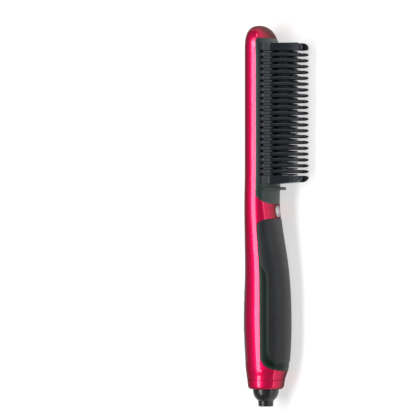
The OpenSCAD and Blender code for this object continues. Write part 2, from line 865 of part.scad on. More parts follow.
// Back panel: a thin satin cover set flush in the back shell
module back_panel() laid("#15151a") {
    difference() {
        intersection() {
            panel_prism(0);
            difference() {
                loft(shell_rings(outer_sides, 0));
                loft(shell_rings(outer_sides, panel_thick, hollow_stop));
            }
        }
        plug(oval_place, -far, far) oval_half(1, button_gap);
        plug(oval_place, -far, far) oval_half(-1, button_gap);
        pin(power_place, 0, power_diameter / 2 + button_gap, -far, far);
        pin(oval_place, 0, dimple_radius, -far, back(oval_place) + panel_thick / 3);
    }
}

// One half of the split oval, with the notch round the oval's centre; oval_full above 1 makes its
// end fuller or more pointed than an ellipse, and oval_blunt shortens the lower half
oval_slot = 2.5;
oval_blunt = 0.8;
oval_full = 1.18;
oval_step = 10;
notch_radius = 2.6;
dimple_radius = 0.9;
module oval_half(side, grow) {
    long = oval_length / 2 - (side > 0 ? 0 : oval_blunt) + grow;
    wide = oval_width / 2 + grow;
    difference() {
        intersection() {
            polygon([for (a = [0:oval_step:359])
                [long * sign(cos(a)) * pow(abs(cos(a)), oval_full), wide * sin(a)]]);
            translate([side > 0 ? oval_slot / 2 - grow : grow - oval_slot / 2 - oval_length,
                -oval_width]) square([oval_length, 2 * oval_width]);
        }
        circle(r = notch_radius - grow);
    }
}

button_proud = 0.6;
button_flange = 0.6;
flange_thick = 1;
function button_top(x) = back(x) - button_proud;
stem_radius = 1.6;
stem_end = control_depth - switch_height - button_travel - seat_gap;
oval_stem = 6;
oval_flange = max([
    for (side = [-1, 1]) under_panel(oval_place + side * oval_length / 2, oval_width / 2)
]);
power_flange = under_panel(power_place, power_diameter / 2 + button_flange);
module oval_button(side) {
    plug(oval_place, button_top(oval_place + side * oval_stem), oval_flange + over / 2)
        oval_half(side, 0);
    plug(oval_place, oval_flange, oval_flange + flange_thick) oval_half(side, button_flange);
    pin(oval_place + side * oval_stem, 0, stem_radius, oval_flange, stem_end);
}
module up_button() laid(silver) oval_button(1);
module down_button() laid(silver) oval_button(-1);
module power_button() laid(silver) {
    pin(power_place, 0, power_diameter / 2, button_top(power_place), power_flange + over / 2);
    pin(power_place, 0, power_diameter / 2 + button_flange, power_flange,
        power_flange + flange_thick);
    pin(power_place, 0, stem_radius, power_flange, stem_end);
}

// Control board behind the panel, with its switches and its display
switch_half = 3;
plunger_radius = 1.5;
plunger_height = 0.8;
module control_board() laid("#1f6b3a")
    block(control_start, control_stop, control_depth, control_depth + board_thick, control_half);
module tact_switches() laid("#3a3a3e")
    for (x = [power_place, oval_place - oval_stem, oval_place + oval_stem]) {
        top = control_depth - switch_height;
        block(x - switch_half, x + switch_half, top + plunger_height, control_depth, switch_half);
        pin(x, 0, plunger_radius, top, top + plunger_height + seat_gap);
    }
module display_module() laid("#303036")
    block(display_start, display_stop, under_panel(display_start, display_half) + seat_gap,
        control_depth, display_half);

// Power board in the belly of the handle, with what stands on it
function on_board(share) = power_start + share * (power_stop - power_start);
relay_height = 8;
coil_height = 7;
can_radius = 4;
small_can_radius = 3;
component_side = 5.3;
module power_board() laid("#2f7a45")
    block(power_start, power_stop, power_depth, power_depth + power_thick, power_half);
module power_components() laid("#c79a3a") {
    block(on_board(0.14), on_board(0.33), power_depth - relay_height, power_depth,
        component_side - 2, -component_side);
    block(on_board(0.14), on_board(0.29), power_depth - coil_height, power_depth,
        component_side - 2.8, component_side);
    pin(on_board(0.49), -component_side, can_radius, power_depth - relay_height, power_depth);
    pin(on_board(0.63), component_side, small_can_radius, power_depth - coil_height, power_depth);
    block(on_board(0.75), on_board(0.8), power_depth - relay_height, power_depth,
        component_side - 1, -component_side);
}
ribbon_half = 4;
ribbon_thick = 0.8;
module ribbon_cable() laid("#8c8c94")
    block(on_board(0.87), on_board(0.87) + ribbon_thick, control_depth + board_thick, power_depth,
        ribbon_half);

// Soft pad and its dark carrier on the belly of the handle
module grip_carrier() laid("#1b201f") {
    difference() {
        slab(carrier_grid(0), carrier_grid(carrier_thick));
        slab(pad_grid(-2, seat_gap, pocket_widen), pad_grid(pad_thick, seat_gap, pocket_widen));
    }
}
module grip_pad() laid("#3c3e40")
    slab(pad_grid(-pad_proud), pad_grid(pad_thick - 0.1));

// Plain disc on the neck
module badge_disc() laid("#d9d4da")
    pin(disc_place, 0, disc_diameter / 2, belly(disc_place) - disc_thick,
        belly(disc_place) + seat_gap / 2);

// End collar: the red ring that closes the tail round the gland
collar_bore = 10.3;
module end_collar() laid(red) {
    difference() {
        loft([
            for (i = [0:4])
                let (a = 90 * i / 4)
                ring(collar_round * (1 - cos(a)), outer_sides, collar_round * (1 - sin(a))),
            ring(collar_length - seat_gap / 2, outer_sides)
        ]);
        translate([-over, -tail_parting, 0]) rotate([0, 90, 0])
            cylinder(r = collar_bore, h = collar_length + 2 * over);
    }
}

// A turned piece about the gland's axis, from [radius, place] points
module turned(points) {
    translate([0, -tail_parting, 0]) rotate([0, 90, 0]) rotate_extrude() polygon(points);
}

// Swivelling gland: ball, neck, shaft and the flange that keeps it in
shaft_radius = 7;
ball_centre = -0.8;
ball_face = 3;
neck_edge = 0.6;
bore_stop = 6;
retainer_start = ball_face + 0.2;
retainer_stop = collar_length + 1.6;
flange_start = retainer_stop + 0.2;
flange_stop = flange_start + 2;
flange_radius = 9.2;
module swivel_gland() laid("#202226") {
    difference() {
        union() {
            intersection() {
                translate([ball_centre, -tail_parting, 0]) sphere(r = ball_radius);
                turned([[0, -gland_reach], [2 * ball_radius, -gland_reach],
                    [2 * ball_radius, ball_face], [0, ball_face]]);
            }
            turned([
                [0, -gland_reach], [neck_radius - neck_edge, -gland_reach],
                [neck_radius, -gland_reach + neck_edge], [neck_radius, ball_centre],
                [0, ball_centre]
            ]);
            turned([
                [0, ball_centre], [shaft_radius, ball_centre], [shaft_radius, flange_start],
                [flange_radius, flange_start], [flange_radius, flange_stop], [0, flange_stop]
            ]);
        }
        turned([[0, -gland_reach - over], [cord_radius, -gland_reach - over],
            [cord_radius, bore_stop], [0, bore_stop]]);
    }
}
module swivel_retainer() laid("#5a5d62")
    turned([
        [shaft_radius + swivel_gap, retainer_start], [collar_bore - seat_gap, retainer_start],
        [collar_bore - seat_gap, retainer_stop], [shaft_radius + swivel_gap, retainer_stop]
    ]);

// Slip contacts, so that the cord turns without twisting its cores
ring_thick = 0.6;
module contact_rings() laid("#c9a24a")
    for (r = [cord_radius + 0.7, shaft_radius])
        turned([
            [r - ring_half, flange_stop], [r + ring_half, flange_stop],
            [r + ring_half, flange_stop + ring_thick], [r - ring_half, flange_stop + ring_thick]
        ]);
ring_half = 0.8;
block_start = flange_stop + ring_thick + 0.3;
block_length = 5;
block_radius = 11.2;
module contact_block() laid("#8b8378")
    turned([
        [0, block_start], [block_radius, block_start],
        [block_radius, block_start + block_length], [0, block_start + block_length]
    ]);

// Wires from the slip contacts to the power board
supply_side = 4;
module supply_wires() laid("#7a2f2f")
    for (side = [-1, 1])
        wire([block_start + block_length + seat_gap, tail_parting + 2, side * supply_side],
            [power_start - 0.4, power_depth + power_thick / 2, side * (power_half - 2.9)],
            lead_radius);

// Screws that hold the shells and the heater tray, driven from under the panel
module screw(p, tip) {
    pin(p[0], p[1], screw_head_radius, screw_seat(p) - screw_head_height, screw_seat(p));
    pin(p[0], p[1], screw_radius, screw_seat(p), tip);
}
module housing_screws() laid("#b5b8bc")
    for (p = housing_screw_places) screw(p, pilot_end(p) - over / 2);
module heater_screws() laid("#b5b8bc")
    for (p = heater_screw_places) screw(p, clamp_depth - over);

back_shell();
front_shell();
back_panel();
end_collar();
comb_frame();
guard_comb();
heating_comb();
heater_element();
heater_insulator();
heater_clamp();
heater_carrier();
temperature_sensor();
thermal_fuse();
heater_leads();
grip_carrier();
grip_pad();
badge_disc();
up_button();
down_button();
power_button();
control_board();
display_module();
tact_switches();
power_board();
power_components();
ribbon_cable();
supply_wires();
contact_block();
contact_rings();
swivel_retainer();
swivel_gland();
housing_screws();
heater_screws();
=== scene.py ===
import math

import bmesh
import bpy
import numpy as np
from mathutils import Matrix, Vector


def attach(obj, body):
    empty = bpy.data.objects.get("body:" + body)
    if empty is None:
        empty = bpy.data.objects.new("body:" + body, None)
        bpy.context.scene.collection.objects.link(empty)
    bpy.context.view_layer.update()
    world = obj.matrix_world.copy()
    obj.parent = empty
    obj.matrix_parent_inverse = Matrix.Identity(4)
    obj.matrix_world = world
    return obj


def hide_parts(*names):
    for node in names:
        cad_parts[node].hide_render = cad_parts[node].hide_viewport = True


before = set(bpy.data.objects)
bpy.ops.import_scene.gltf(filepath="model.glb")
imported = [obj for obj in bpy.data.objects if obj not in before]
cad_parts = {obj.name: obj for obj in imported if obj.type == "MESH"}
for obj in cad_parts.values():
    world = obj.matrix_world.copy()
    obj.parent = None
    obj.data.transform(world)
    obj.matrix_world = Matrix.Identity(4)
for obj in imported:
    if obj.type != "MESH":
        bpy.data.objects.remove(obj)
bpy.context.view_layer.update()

# Back shell: one moulding of glass-filled nylon, lacquered metallic rose red, that runs from the
# end collar over the crown. The panel drops into its back, and three screws under the panel pull
# it to the front shell.

# How the straightener lies: local millimetres are X tail to crown, Y out of the back, Z across
LEAN = math.radians(20.9572)
PITCH = math.radians(-0.320061)
SHIFT = np.array([-124.75, 21.8994, 23.1823])
MM = 0.001


def turned(v):
    """Local directions or points as they lie, without the shift."""
    v = np.asarray(v, float)
    x, y, z = v[..., 0], v[..., 1], v[..., 2]
    y, z = y * math.cos(LEAN) - z * math.sin(LEAN), y * math.sin(LEAN) + z * math.cos(LEAN)
    x, z = x * math.cos(PITCH) + z * math.sin(PITCH), -x * math.sin(PITCH) + z * math.cos(PITCH)
    return np.stack([x, y, z], axis=-1)


def laid(points):
    """Local points in millimetres to the frame's metres."""
    return (turned(points) + SHIFT) * MM


# The body's section along its length, as (place, millimetres) or (place, form) points
BODY_LENGTH = 262.0
WIDTHS = [(0, 25.8), (8, 27.8), (16, 32), (48, 34.5), (84, 33), (129.8, 36.8), (157.8, 39.2), (262, 39.2)]
BACKS = [(0, 2.9), (8, 2), (16, 1.2), (48, 0), (84, 1), (129.8, 1.5), (157.8, 2.3), (262, 2.3)]
BELLIES = [(0, 28.1), (8, 29.5), (16, 31.9), (48, 33.4), (84, 31.7), (129.8, 24.3), (157.8, 24.8), (262, 24.8)]
PARTINGS = [(0, 15.5), (16, 16.5), (48, 16.5), (84, 16), (129.8, 13.9), (157.8, 14.5), (262, 14.5)]
BACK_FORMS = [(0, 2.1), (48, 2.3), (84, 2.4), (157.8, 2.8), (262, 2.8)]
BELLY_FORM = 2.25
# The crown closes over a span with a power and a root, towards one depth
BACK_CLOSING, BELLY_CLOSING, CROWN_DEPTH = (20, 3.2, 2.6), (26, 2, 1.8), 12.0
# The visible skin lies this far under the moulding's nominal surface
SKIN_EASE, CROWN_EASE_SPAN = 0.1, 6


def smooth(table, x):
    """A smooth curve through (place, value) points."""
    t = np.array(table, float)
    x = np.asarray(x, float)
    n = len(t)
    rise = np.array([
        (t[min(i + 1, n - 1), 1] - t[max(i - 1, 0), 1]) / (t[min(i + 1, n - 1), 0] - t[max(i - 1, 0), 0])
        for i in range(n)])
    i = np.clip(np.searchsorted(t[:, 0], x, side="right") - 1, 0, n - 2)
    h = t[i + 1, 0] - t[i, 0]
    u = (x - t[i, 0]) / h
    return (t[i, 1] + (t[i + 1, 1] - t[i, 1]) * u * u * (3 - 2 * u)
            + h * u * (1 - u) * (rise[i] * (1 - u) - rise[i + 1] * u))


def closing(x, span, power, root):
    """The share of the section left towards the crown."""
    t = np.clip((np.asarray(x, float) - BODY_LENGTH + span) / span, 0, 1)
    return (1 - t ** power) ** (1 / root)


def half_width(x):
    return smooth(WIDTHS, x) / 2 * closing(x, *BACK_CLOSING)


def back_of(x):
    return CROWN_DEPTH + (smooth(BACKS, x) - CROWN_DEPTH) * closing(x, *BACK_CLOSING)


def belly_of(x):
    return CROWN_DEPTH + (smooth(BELLIES, x) - CROWN_DEPTH) * closing(x, *BELLY_CLOSING)


def parting_of(x):
    return CROWN_DEPTH + (smooth(PARTINGS, x) - CROWN_DEPTH) * closing(x, *BELLY_CLOSING)


def skin(x, angle, inset=0.0):
    """Points of the housing's surface, angle degrees round from the middle of the back."""
    x, angle, inset = np.broadcast_arrays(np.asarray(x, float), angle, np.asarray(inset, float) + SKIN_EASE)
    c, s = np.cos(np.radians(angle)), np.sin(np.radians(angle))
    c = np.where(np.abs(c) < 1e-9, 0, c)
    s = np.where(np.abs(s) < 1e-9, 0, s)
    on_back = c >= 0
    reach = np.where(on_back, parting_of(x) - back_of(x), belly_of(x) - parting_of(x)) - inset
    e = 2 / np.where(on_back, smooth(BACK_FORMS, x), BELLY_FORM)
    y = np.maximum(reach, 0.02) * np.sign(c) * np.abs(c) ** e - parting_of(x)
    z = np.maximum(half_width(x) - inset, 0.02) * np.sign(s) * np.abs(s) ** e
    eased = x - SKIN_EASE * np.clip((x - BODY_LENGTH) / CROWN_EASE_SPAN + 1, 0, 1)
    return np.stack([eased, y, z], axis=-1)


def angle_across(x, z):
    """The angle at which the back lies z out from its middle."""
    share = np.minimum(np.abs(z) / half_width(x), 1) ** (smooth(BACK_FORMS, x) / 2)
    return np.sign(z) * np.degrees(np.arcsin(share))


def angle_below(x, drop):
    """The angle at which the belly side lies a given depth below the parting line."""
    share = np.clip(drop / (belly_of(x) - parting_of(x)), 0, 1) ** (BELLY_FORM / 2)
    return 90 + np.degrees(np.arcsin(share))


def steps(first, last, count):
    """Rows spaced evenly from one place to another."""
    return [first + (last - first) * t for t in np.linspace(0, 1, count)]


def mesh_piece(name, bm):
    """A named object from a bmesh, with smooth faces."""
    mesh = bpy.data.meshes.new(name)
    bm.to_mesh(mesh)
    bm.free()
    mesh.shade_smooth()
    piece = bpy.data.objects.new(name, mesh)
    bpy.context.scene.collection.objects.link(piece)
    return piece


def faces_out(points):
    """Whether a grid's cells, taken row by row, face away from the middle of the section."""
    across, along = points[1:, 1:] - points[:-1, :-1], points[1:, :-1] - points[:-1, 1:]
    middle = points[:-1, :-1].copy()
    middle[..., 1] += parting_of(middle[..., 0])
    middle[..., 0] = 0
    return float((np.cross(across, along) * middle).sum()) > 0


def quilt(grids, weld=0.004):
    """A bmesh in the frame's metres from grids of local points. Each grid is (points, open cells)."""
    bm = bmesh.new()
    for points, left_out in grids:
        places = laid(points)
        rows, columns = places.shape[:2]
        outward = faces_out(points)
        verts = [[bm.verts.new(places[i, j]) for j in range(columns)] for i in range(rows)]
        for i in range(rows - 1):
            for j in range(columns - 1):
                if left_out is None or not left_out(i, j):
                    cell = (verts[i][j], verts[i][j + 1], verts[i + 1][j + 1], verts[i + 1][j])
                    bm.faces.new(cell if outward else cell[::-1])
    bmesh.ops.remove_doubles(bm, verts=bm.verts, dist=weld * MM)
    bmesh.ops.delete(bm, geom=[v for v in bm.verts if not v.link_faces], context="VERTS")
    return bm


def thickened(piece, thick, offset=-1):
    """Gives a skin its wall, on the inside unless an offset says otherwise."""
    wall = piece.modifiers.new("wall", "SOLIDIFY")
    wall.thickness = thick * MM
    wall.offset = offset


def bevelled(piece, edge, segments=2, angle=35):
    bevel = piece.modifiers.new("edges", "BEVEL")
    bevel.width = edge * MM
    bevel.segments = segments
    bevel.limit_method = "ANGLE"
    bevel.angle_limit = math.radians(angle)


def rounded(piece, edge, segments, angle=40):
    """Rounds the edges that are sharper than an angle, and shades the faces evenly."""
    bevelled(piece, edge, segments, angle)
    even = piece.modifiers.new("shading", "WEIGHTED_NORMAL")
    even.keep_sharp = True
    even.weight = 60


def walled(name, grids, thick, edge, segments=2, weld=0.004):
    """A skin from grids of points, with its wall on the inside and its edges rounded."""
    piece = mesh_piece(name, quilt(grids, weld))
    thickened(piece, thick)
    rounded(piece, edge, segments)
    return piece


def put(node, **values):
    """Sets or links a node's own sockets; an underscore stands for a space in a socket's name."""
    for name, value in values.items():
        socket = node.inputs[name.replace("_", " ")]
        if isinstance(value, bpy.types.NodeSocket):
            node.id_data.links.new(value, socket)
        else:
            socket.default_value = (*value, 1) if socket.type == "RGBA" else value
    return node


def begun(name):
    """A new material, its shader and a texture coordinate in the frame's metres."""
    finish = bpy.data.materials.new(name)
    finish.use_nodes = True
    nodes = finish.node_tree.nodes
    return finish, nodes["Principled BSDF"], nodes.new("ShaderNodeTexCoord").outputs["Object"]


def beside(socket, kind, **values):
    """A new node in the same tree as a socket."""
    return put(socket.id_data.nodes.new("ShaderNode" + kind), **values)


def noise(where, scale, detail, rough=0.5, stretch=None):
    """A noise whose scale counts features to the metre."""
    if stretch:
        where = beside(where, "Mapping", Vector=where, Scale=stretch).outputs["Vector"]
    return beside(where, "TexNoise", Vector=where, Scale=scale, Detail=detail, Roughness=rough).outputs["Fac"]


def ramp(factor, stops):
    """Colours or greys laid along a factor."""
    node = beside(factor, "ValToRGB", Fac=factor)
    bar = node.color_ramp
    while len(bar.elements) < len(stops):
        bar.elements.new(0.5)
    for element, (at, colour) in zip(bar.elements, stops):
        element.position = at
        element.color = (*colour, 1)
    return node.outputs["Color"]


def spread(factor, low, high, start=0.0, stop=1.0):
    """A factor, or the part of it from start to stop, brought to a range."""
    return beside(factor, "MapRange", Value=factor, From_Min=start, From_Max=stop,
                  To_Min=low, To_Max=high).outputs["Result"]


def blended(factor, first, second):
    """Two colours mixed by a factor; the factor and the second colour may be plain."""
    node = beside(first, "Mix")
    node.data_type = "RGBA"
    return put(node, Factor=factor, A=first, B=second).outputs["Result"]


def bumped(shader, height, strength, depth):
    bump = beside(height, "Bump", Height=height, Strength=strength, Distance=depth * MM)
    put(shader, Normal=bump.outputs["Normal"])


def edge_brightened(base, bright):
    """The colour made brighter on its sharper convex edges, as pointiness finds them."""
    pointed = beside(base, "NewGeometry").outputs["Pointiness"]
    return blended(spread(pointed, 0.0, 0.5, 0.53, 0.6), base, bright)


def lacquer(name):
    """Candy red over bright flake, under a clear coat; a painted shade darkens it towards maroon where it is seen
    at a grazing angle, and the coat thins there.
    """
    finish, shader, where = begun(name)
    flake = ramp(noise(where, 5200, 2, 0.6),
                 [(0.3, (0.60, 0.001, 0.050)), (0.55, (0.72, 0.002, 0.080)), (0.78, (0.88, 0.012, 0.17))])
    cloud = ramp(noise(where, 38, 3), [(0.35, (0.65, 0.001, 0.058)), (0.65, (0.74, 0.002, 0.082))])
    lit = edge_brightened(blended(0.45, flake, cloud), (0.85, 0.12, 0.25))
    facing = beside(where, "LayerWeight", Blend=0.5).outputs["Facing"]
    # Painted shade: the colour goes to dark maroon where the surface is seen at a grazing angle, as if it turned
    # from the light.
    painted_slant_shade = ramp(facing, [(0.25, (0, 0, 0)), (0.7, (1, 1, 1))])
    put(shader, Base_Color=blended(painted_slant_shade, lit, (0.13, 0.0004, 0.011)), Metallic=0.55,
        Roughness=spread(noise(where, 900, 3), 0.3, 0.38), Specular_IOR_Level=0.2,
        Specular_Tint=(0.35, 0.02, 0.06), Coat_Weight=spread(painted_slant_shade, 0.65, 0.02), Coat_Roughness=0.06, Coat_IOR=1.45)
    bumped(shader, noise(where, 1400, 2), 0.05, 0.05)
    return finish


RED = lacquer("rose_red_lacquer")


def finished(piece, material, body, *nodes, slot=None):
    """Gives a piece its finish, its body and the nodes that it stands for."""
    piece.data.materials.append(material)
    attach(piece, body)
    if nodes:
        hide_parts(*nodes)


SHELL_WALL, SHELL_EDGE = 1.7, 0.22
COLLAR_LENGTH, COLLAR_GAP = 7.0, 0.1
COMB_START, COMB_END = 147.8, 249.2
PANEL_MARGIN, PANEL_START, PANEL_STOP = 4.9, 15.0, 250.0
PANEL_LOW_RISE, PANEL_HIGH_RISE = 6.7, 4.4
SEAT_GAP = 0.2
FRAME_STOP, FRAME_CORNER = COMB_END + 3.5, 3.2
CROWN_ROW = 255.5
SEAM_LAP, SEAM_WELD = 0.05, 0.03


def corner_cut(depth):
    """How far the frame's rounded upper corner draws it back at a depth."""
    rise = np.clip(1 - (depth - parting_of(FRAME_STOP)) / FRAME_CORNER, 0, 1)
    return FRAME_CORNER * (1 - np.sqrt(np.clip(1 - rise ** 2, 0, 1)))


def panel_half(x):
    return smooth(WIDTHS, x) / 2 - PANEL_MARGIN


def panel_ends(s, grow=0.0):
    """Where the panel starts and stops at a share s of its half width."""
    bow = np.abs(s) ** 2.5
    return PANEL_START - grow + PANEL_LOW_RISE * bow, PANEL_STOP + grow - PANEL_HIGH_RISE * bow


def back_columns(strip, across):
    """Shares across the back: under -1 and over 1 they run down the strip to the parting line."""
    side = np.linspace(2, 1, strip + 1)
    return np.concatenate([-side, np.linspace(-1, 1, across + 1)[1:-1], side[::-1]])


def back_angles(x, s, grow):
    """The angles of those columns, whose -1 and 1 follow the panel's seat."""
    inner = np.clip(s, -1, 1)
    high = panel_ends(inner)[1]
    shrink = np.where(x > high, closing(x, *BACK_CLOSING) / closing(high, *BACK_CLOSING), 1)
    edge = angle_across(np.minimum(x, BODY_LENGTH - 0.02), inner * (panel_half(x) + grow) * shrink)
    out = np.clip(np.abs(s) - 1, 0, 1)
    return edge + (np.sign(s) * 90 - edge) * out


strip, across = 8, 26
s = back_columns(strip, across)
low, high = panel_ends(np.clip(s, -1, 1), SEAT_GAP / 2)
tail = steps(COLLAR_LENGTH + COLLAR_GAP, low, 9)
middle = steps(low, high, 96)[1:]
meet, turn = [(FRAME_STOP - back - high[0]) / (CROWN_ROW - high[0]) for back in (0, FRAME_CORNER)]
top = [high + (CROWN_ROW - high) * t for t in (turn / 2, turn, meet, (meet + 1) / 2, 1)]
crown = [np.full_like(s, CROWN_ROW + (BODY_LENGTH - CROWN_ROW) * math.sin(math.radians(a)))
         for a in np.linspace(0, 90, 15)[1:]]
rows = np.array(tail + middle + top + crown)
seat_low, seat_high = len(tail) - 1, len(tail) + len(middle) - 2
back = skin(rows, back_angles(rows, s, SEAT_GAP / 2))
edge_row = next(i for i, r in enumerate(rows) if abs(r[0] - FRAME_STOP) < 1e-6)
angles = np.concatenate([np.linspace(90, 125, 15)[:-1], np.linspace(125, 235, 25),
                         np.linspace(235, 270, 15)[1:]])
belly_x = np.repeat(rows[edge_row - 1:, :1], len(angles), axis=1)
belly_x[1] = FRAME_STOP
belly_x[0] = FRAME_STOP - corner_cut(-skin(FRAME_STOP, angles)[..., 1])
belly_x[0, 0] = belly_x[0, -1] = rows[edge_row - 1, 0]
belly_x[1, 1:-1] += SEAM_LAP
belly = skin(belly_x, angles[None, :])


def seat(i, j):
    return seat_low <= i <= seat_high and strip <= j < strip + across


piece = walled("back_shell_moulding", [(back, seat), (belly, None)], SHELL_WALL, SHELL_EDGE, weld=SEAM_WELD)
finished(piece, RED, "housing", "back_shell", slot="housing_red")


# Front shell: the belly side of the handle, moulded and lacquered as the back, and cut away round
# the comb frame. The grip's carrier lies in it, so it shows only at the tail and on the neck.
FRONT_WALL = 0.9
CARRIER_START, PAD_START, PAD_STOP = 13.5, 19.4, 122.9
GRIP_LOW_RISE, GRIP_HIGH_RISE = 12.5, 6.7
FRAME_START, FRAME_ROUND, FRAME_BEND = 133.4, 7.0, 10.5
HEAD_PARTING = 14.5


def shares(count):
    """Shares across the belly, closer together towards its sides."""
    return np.sin(np.radians(np.linspace(-90, 90, count)))


def arched(start, stop, s):
    """The places of the grip's two arched ends at a share s of its half width."""
    bow = 1 - (1 - np.abs(s) ** 3) ** (1 / 3)
    return start + GRIP_LOW_RISE * bow, stop - GRIP_HIGH_RISE * bow


def frame_edge(angle, grow=0.0):
    """The place where the comb frame's lower edge crosses the skin at an angle from the back."""
    depth = -skin(FRAME_START + 3.0, angle)[..., 1]
    share = np.clip((depth - HEAD_PARTING + 1) / (FRAME_BEND + 1), 0, 1)
    return FRAME_START - grow + FRAME_ROUND * (1 - share) ** 2


# The two parts of the shell that show: the tail below the grip, and the neck above it
s = shares(61)
round_belly = 180 - 90 * s
low, high = arched(CARRIER_START - SEAT_GAP / 2, PAD_STOP + SEAT_GAP / 2, s)
tail = steps(COLLAR_LENGTH + COLLAR_GAP, low, 9)
neck = steps(high, frame_edge(round_belly, SEAT_GAP / 2), 14)
grids = [(np.array([skin(x, round_belly) for x in rows])[:, ::-1], None) for rows in (tail, neck)]
piece = walled("front_shell_moulding", grids, FRONT_WALL, SHELL_EDGE)
finished(piece, RED, "housing", "front_shell", slot="housing_red")


# End collar: a separate red ring, moulded and lacquered as the shells. It clips over the tail and
# closes it round the gland's ball.
COLLAR_ROUND, COLLAR_BORE = 2.3, 10.3
GLAND_DEPTH = 15.5

angles = np.linspace(0, 360, 97)


def ring(x, inset=0.0):
    return skin(np.full_like(angles, x), angles, inset)


def bore(x, radius):
    a = np.radians(angles)
    return np.stack([np.full_like(a, x), np.cos(a) * radius - GLAND_DEPTH, np.sin(a) * radius], axis=-1)


rows = [bore(COLLAR_LENGTH - 0.2, COLLAR_BORE), bore(1.0, COLLAR_BORE),
        bore(0.25, COLLAR_BORE + 0.07), bore(0.0, COLLAR_BORE + 0.3)]
rows += steps(rows[-1], ring(0.0, COLLAR_ROUND), 3)[1:]
for a in np.radians(np.linspace(0, 90, 8)[1:]):
    rows.append(ring(COLLAR_ROUND * (1 - math.cos(a)), COLLAR_ROUND * (1 - math.sin(a))))
rows += [ring(x) for x in (3.4, 4.6, 5.8, 6.5)]
rows += [ring(6.75, 0.05), ring(6.88, 0.22), ring(6.9, 1.2)]
piece = mesh_piece("end_collar_ring", quilt([(np.array(rows), None)]))
rounded(piece, 0.1, 1, 50)
finished(piece, RED, "housing", "end_collar", slot="housing_red")


# Back panel: a thin black cover moulded in tinted plastic with a satin texture, and glued flush
# into the back shell. Its keys come up through holes with a shallow dished border.
PANEL_THICK, PANEL_EDGE = 1.5, 0.14
OVAL_PLACE, OVAL_LENGTH, OVAL_WIDTH = 65.0, 22.6, 8.6
OVAL_SLOT, OVAL_BLUNT, OVAL_FULL, NOTCH_RADIUS = 2.5, 0.8, 1.18, 2.6
POWER_PLACE, POWER_RADIUS = 42.7, 4.0
KEY_GAP, DIMPLE_RADIUS = 0.3, 0.9
HOLE_TOP, HOLE_BOTTOM, DIMPLE_BOTTOM = 4, -6, -1.0
KEYS_LOW, KEYS_HIGH = 36.0, 80.0
BORDER_WIDTH, BORDER_DIP = 1.5, 0.3


def mottled(name, tones, cloud, patches, rough, grain, bump, edge_tone=None, stops=(0.3, 0.7), stretch=None, **sockets):
    """A finish of two tones in soft clouds, with brighter convex edges, uneven gloss and a fine grain.
    cloud, patches and grain are noises, as scale, detail and roughness."""
    finish, shader, where = begun(name)
    base = ramp(noise(where, *cloud, stretch=stretch), list(zip(stops, tones)))
    put(shader, Base_Color=edge_brightened(base, edge_tone) if edge_tone else base,
        Roughness=spread(noise(where, *patches), *rough), **sockets)
    bumped(shader, noise(where, *grain, stretch=stretch), *bump)
    return finish


PANEL_BLACK = mottled("satin_panel_black", ((0.0055, 0.0045, 0.0068), (0.0085, 0.0070, 0.0102)), (60, 4, 0.6),
                      (210, 4, 0.65), (0.3, 0.42), (4200, 2), (0.12, 0.04), (0.03, 0.03, 0.035), (0.35, 0.65),
                      Specular_IOR_Level=0.35)


def oval_outline(side, grow=0.0, count=26):
    """Half of the split oval from its waist to its rounded end, as points of place and z."""
    long, wide = OVAL_LENGTH / 2 - (0.0 if side > 0 else OVAL_BLUNT) + grow, OVAL_WIDTH / 2 + grow
    notch, start = NOTCH_RADIUS - grow, OVAL_SLOT / 2 - grow
    widest = math.acos((start / long) ** (1 / OVAL_FULL))
    outer = [(long * math.cos(a) ** OVAL_FULL, wide * math.sin(a)) for a in np.linspace(widest, 0, count)]
    bite = math.sqrt(max(notch ** 2 - start ** 2, 0))
    inner = [(math.sqrt(max(notch ** 2 - z * z, 0)), z) for z in np.linspace(-bite, bite, 9)]
    ring = outer + [(u, -z) for u, z in reversed(outer[:-1])] + inner
    return [(OVAL_PLACE + side * u, z) for u, z in ring]


def circle_outline(place, radius, count=48):
    return [(place + radius * math.cos(2 * math.pi * i / count), radius * math.sin(2 * math.pi * i / count))
            for i in range(count)]


def back_surface(x, z):
    """Height of the back's surface over the datum, at a place and z."""
    return skin(x, angle_across(x, z))[..., 1]


def banded(loops):
    """A closed bmesh from loops of as many points each, with a cap on both ends."""
    bm = bmesh.new()
    rings = [[bm.verts.new(point) for point in loop] for loop in loops]
    for lower, upper in zip(rings, rings[1:]):
        for k in range(len(lower)):
            n = (k + 1) % len(lower)
            bm.faces.new((lower[k], lower[n], upper[n], upper[k]))
    bm.faces.new(rings[0])
    bm.faces.new(rings[-1][::-1])
    bmesh.ops.recalc_face_normals(bm, faces=bm.faces)
    return bm


def joined(name, parts):
    """One piece from several bmeshes in local millimetres."""
    whole = bmesh.new()
    for bm in parts:
        mesh = bpy.data.meshes.new("part")
        bm.to_mesh(mesh)
        bm.free()
        whole.from_mesh(mesh)
        bpy.data.meshes.remove(mesh)
    for v in whole.verts:
        v.co = Vector(laid(np.array(v.co)))
    return mesh_piece(name, whole)


def dish(x, z):
    """How far the panel dips in a soft border round the keys."""
    to_power = np.hypot(x - POWER_PLACE, z) - POWER_RADIUS
    round_oval = np.hypot((np.abs(x - OVAL_PLACE) / OVAL_LENGTH * 2) ** (1 / OVAL_FULL), z / OVAL_WIDTH * 2)
    to_oval = (round_oval - 1) * OVAL_WIDTH * 0.55
    near = np.clip(1 - np.minimum(to_power, to_oval) / BORDER_WIDTH, 0, 1)
    return BORDER_DIP * near * near * (3 - 2 * near)


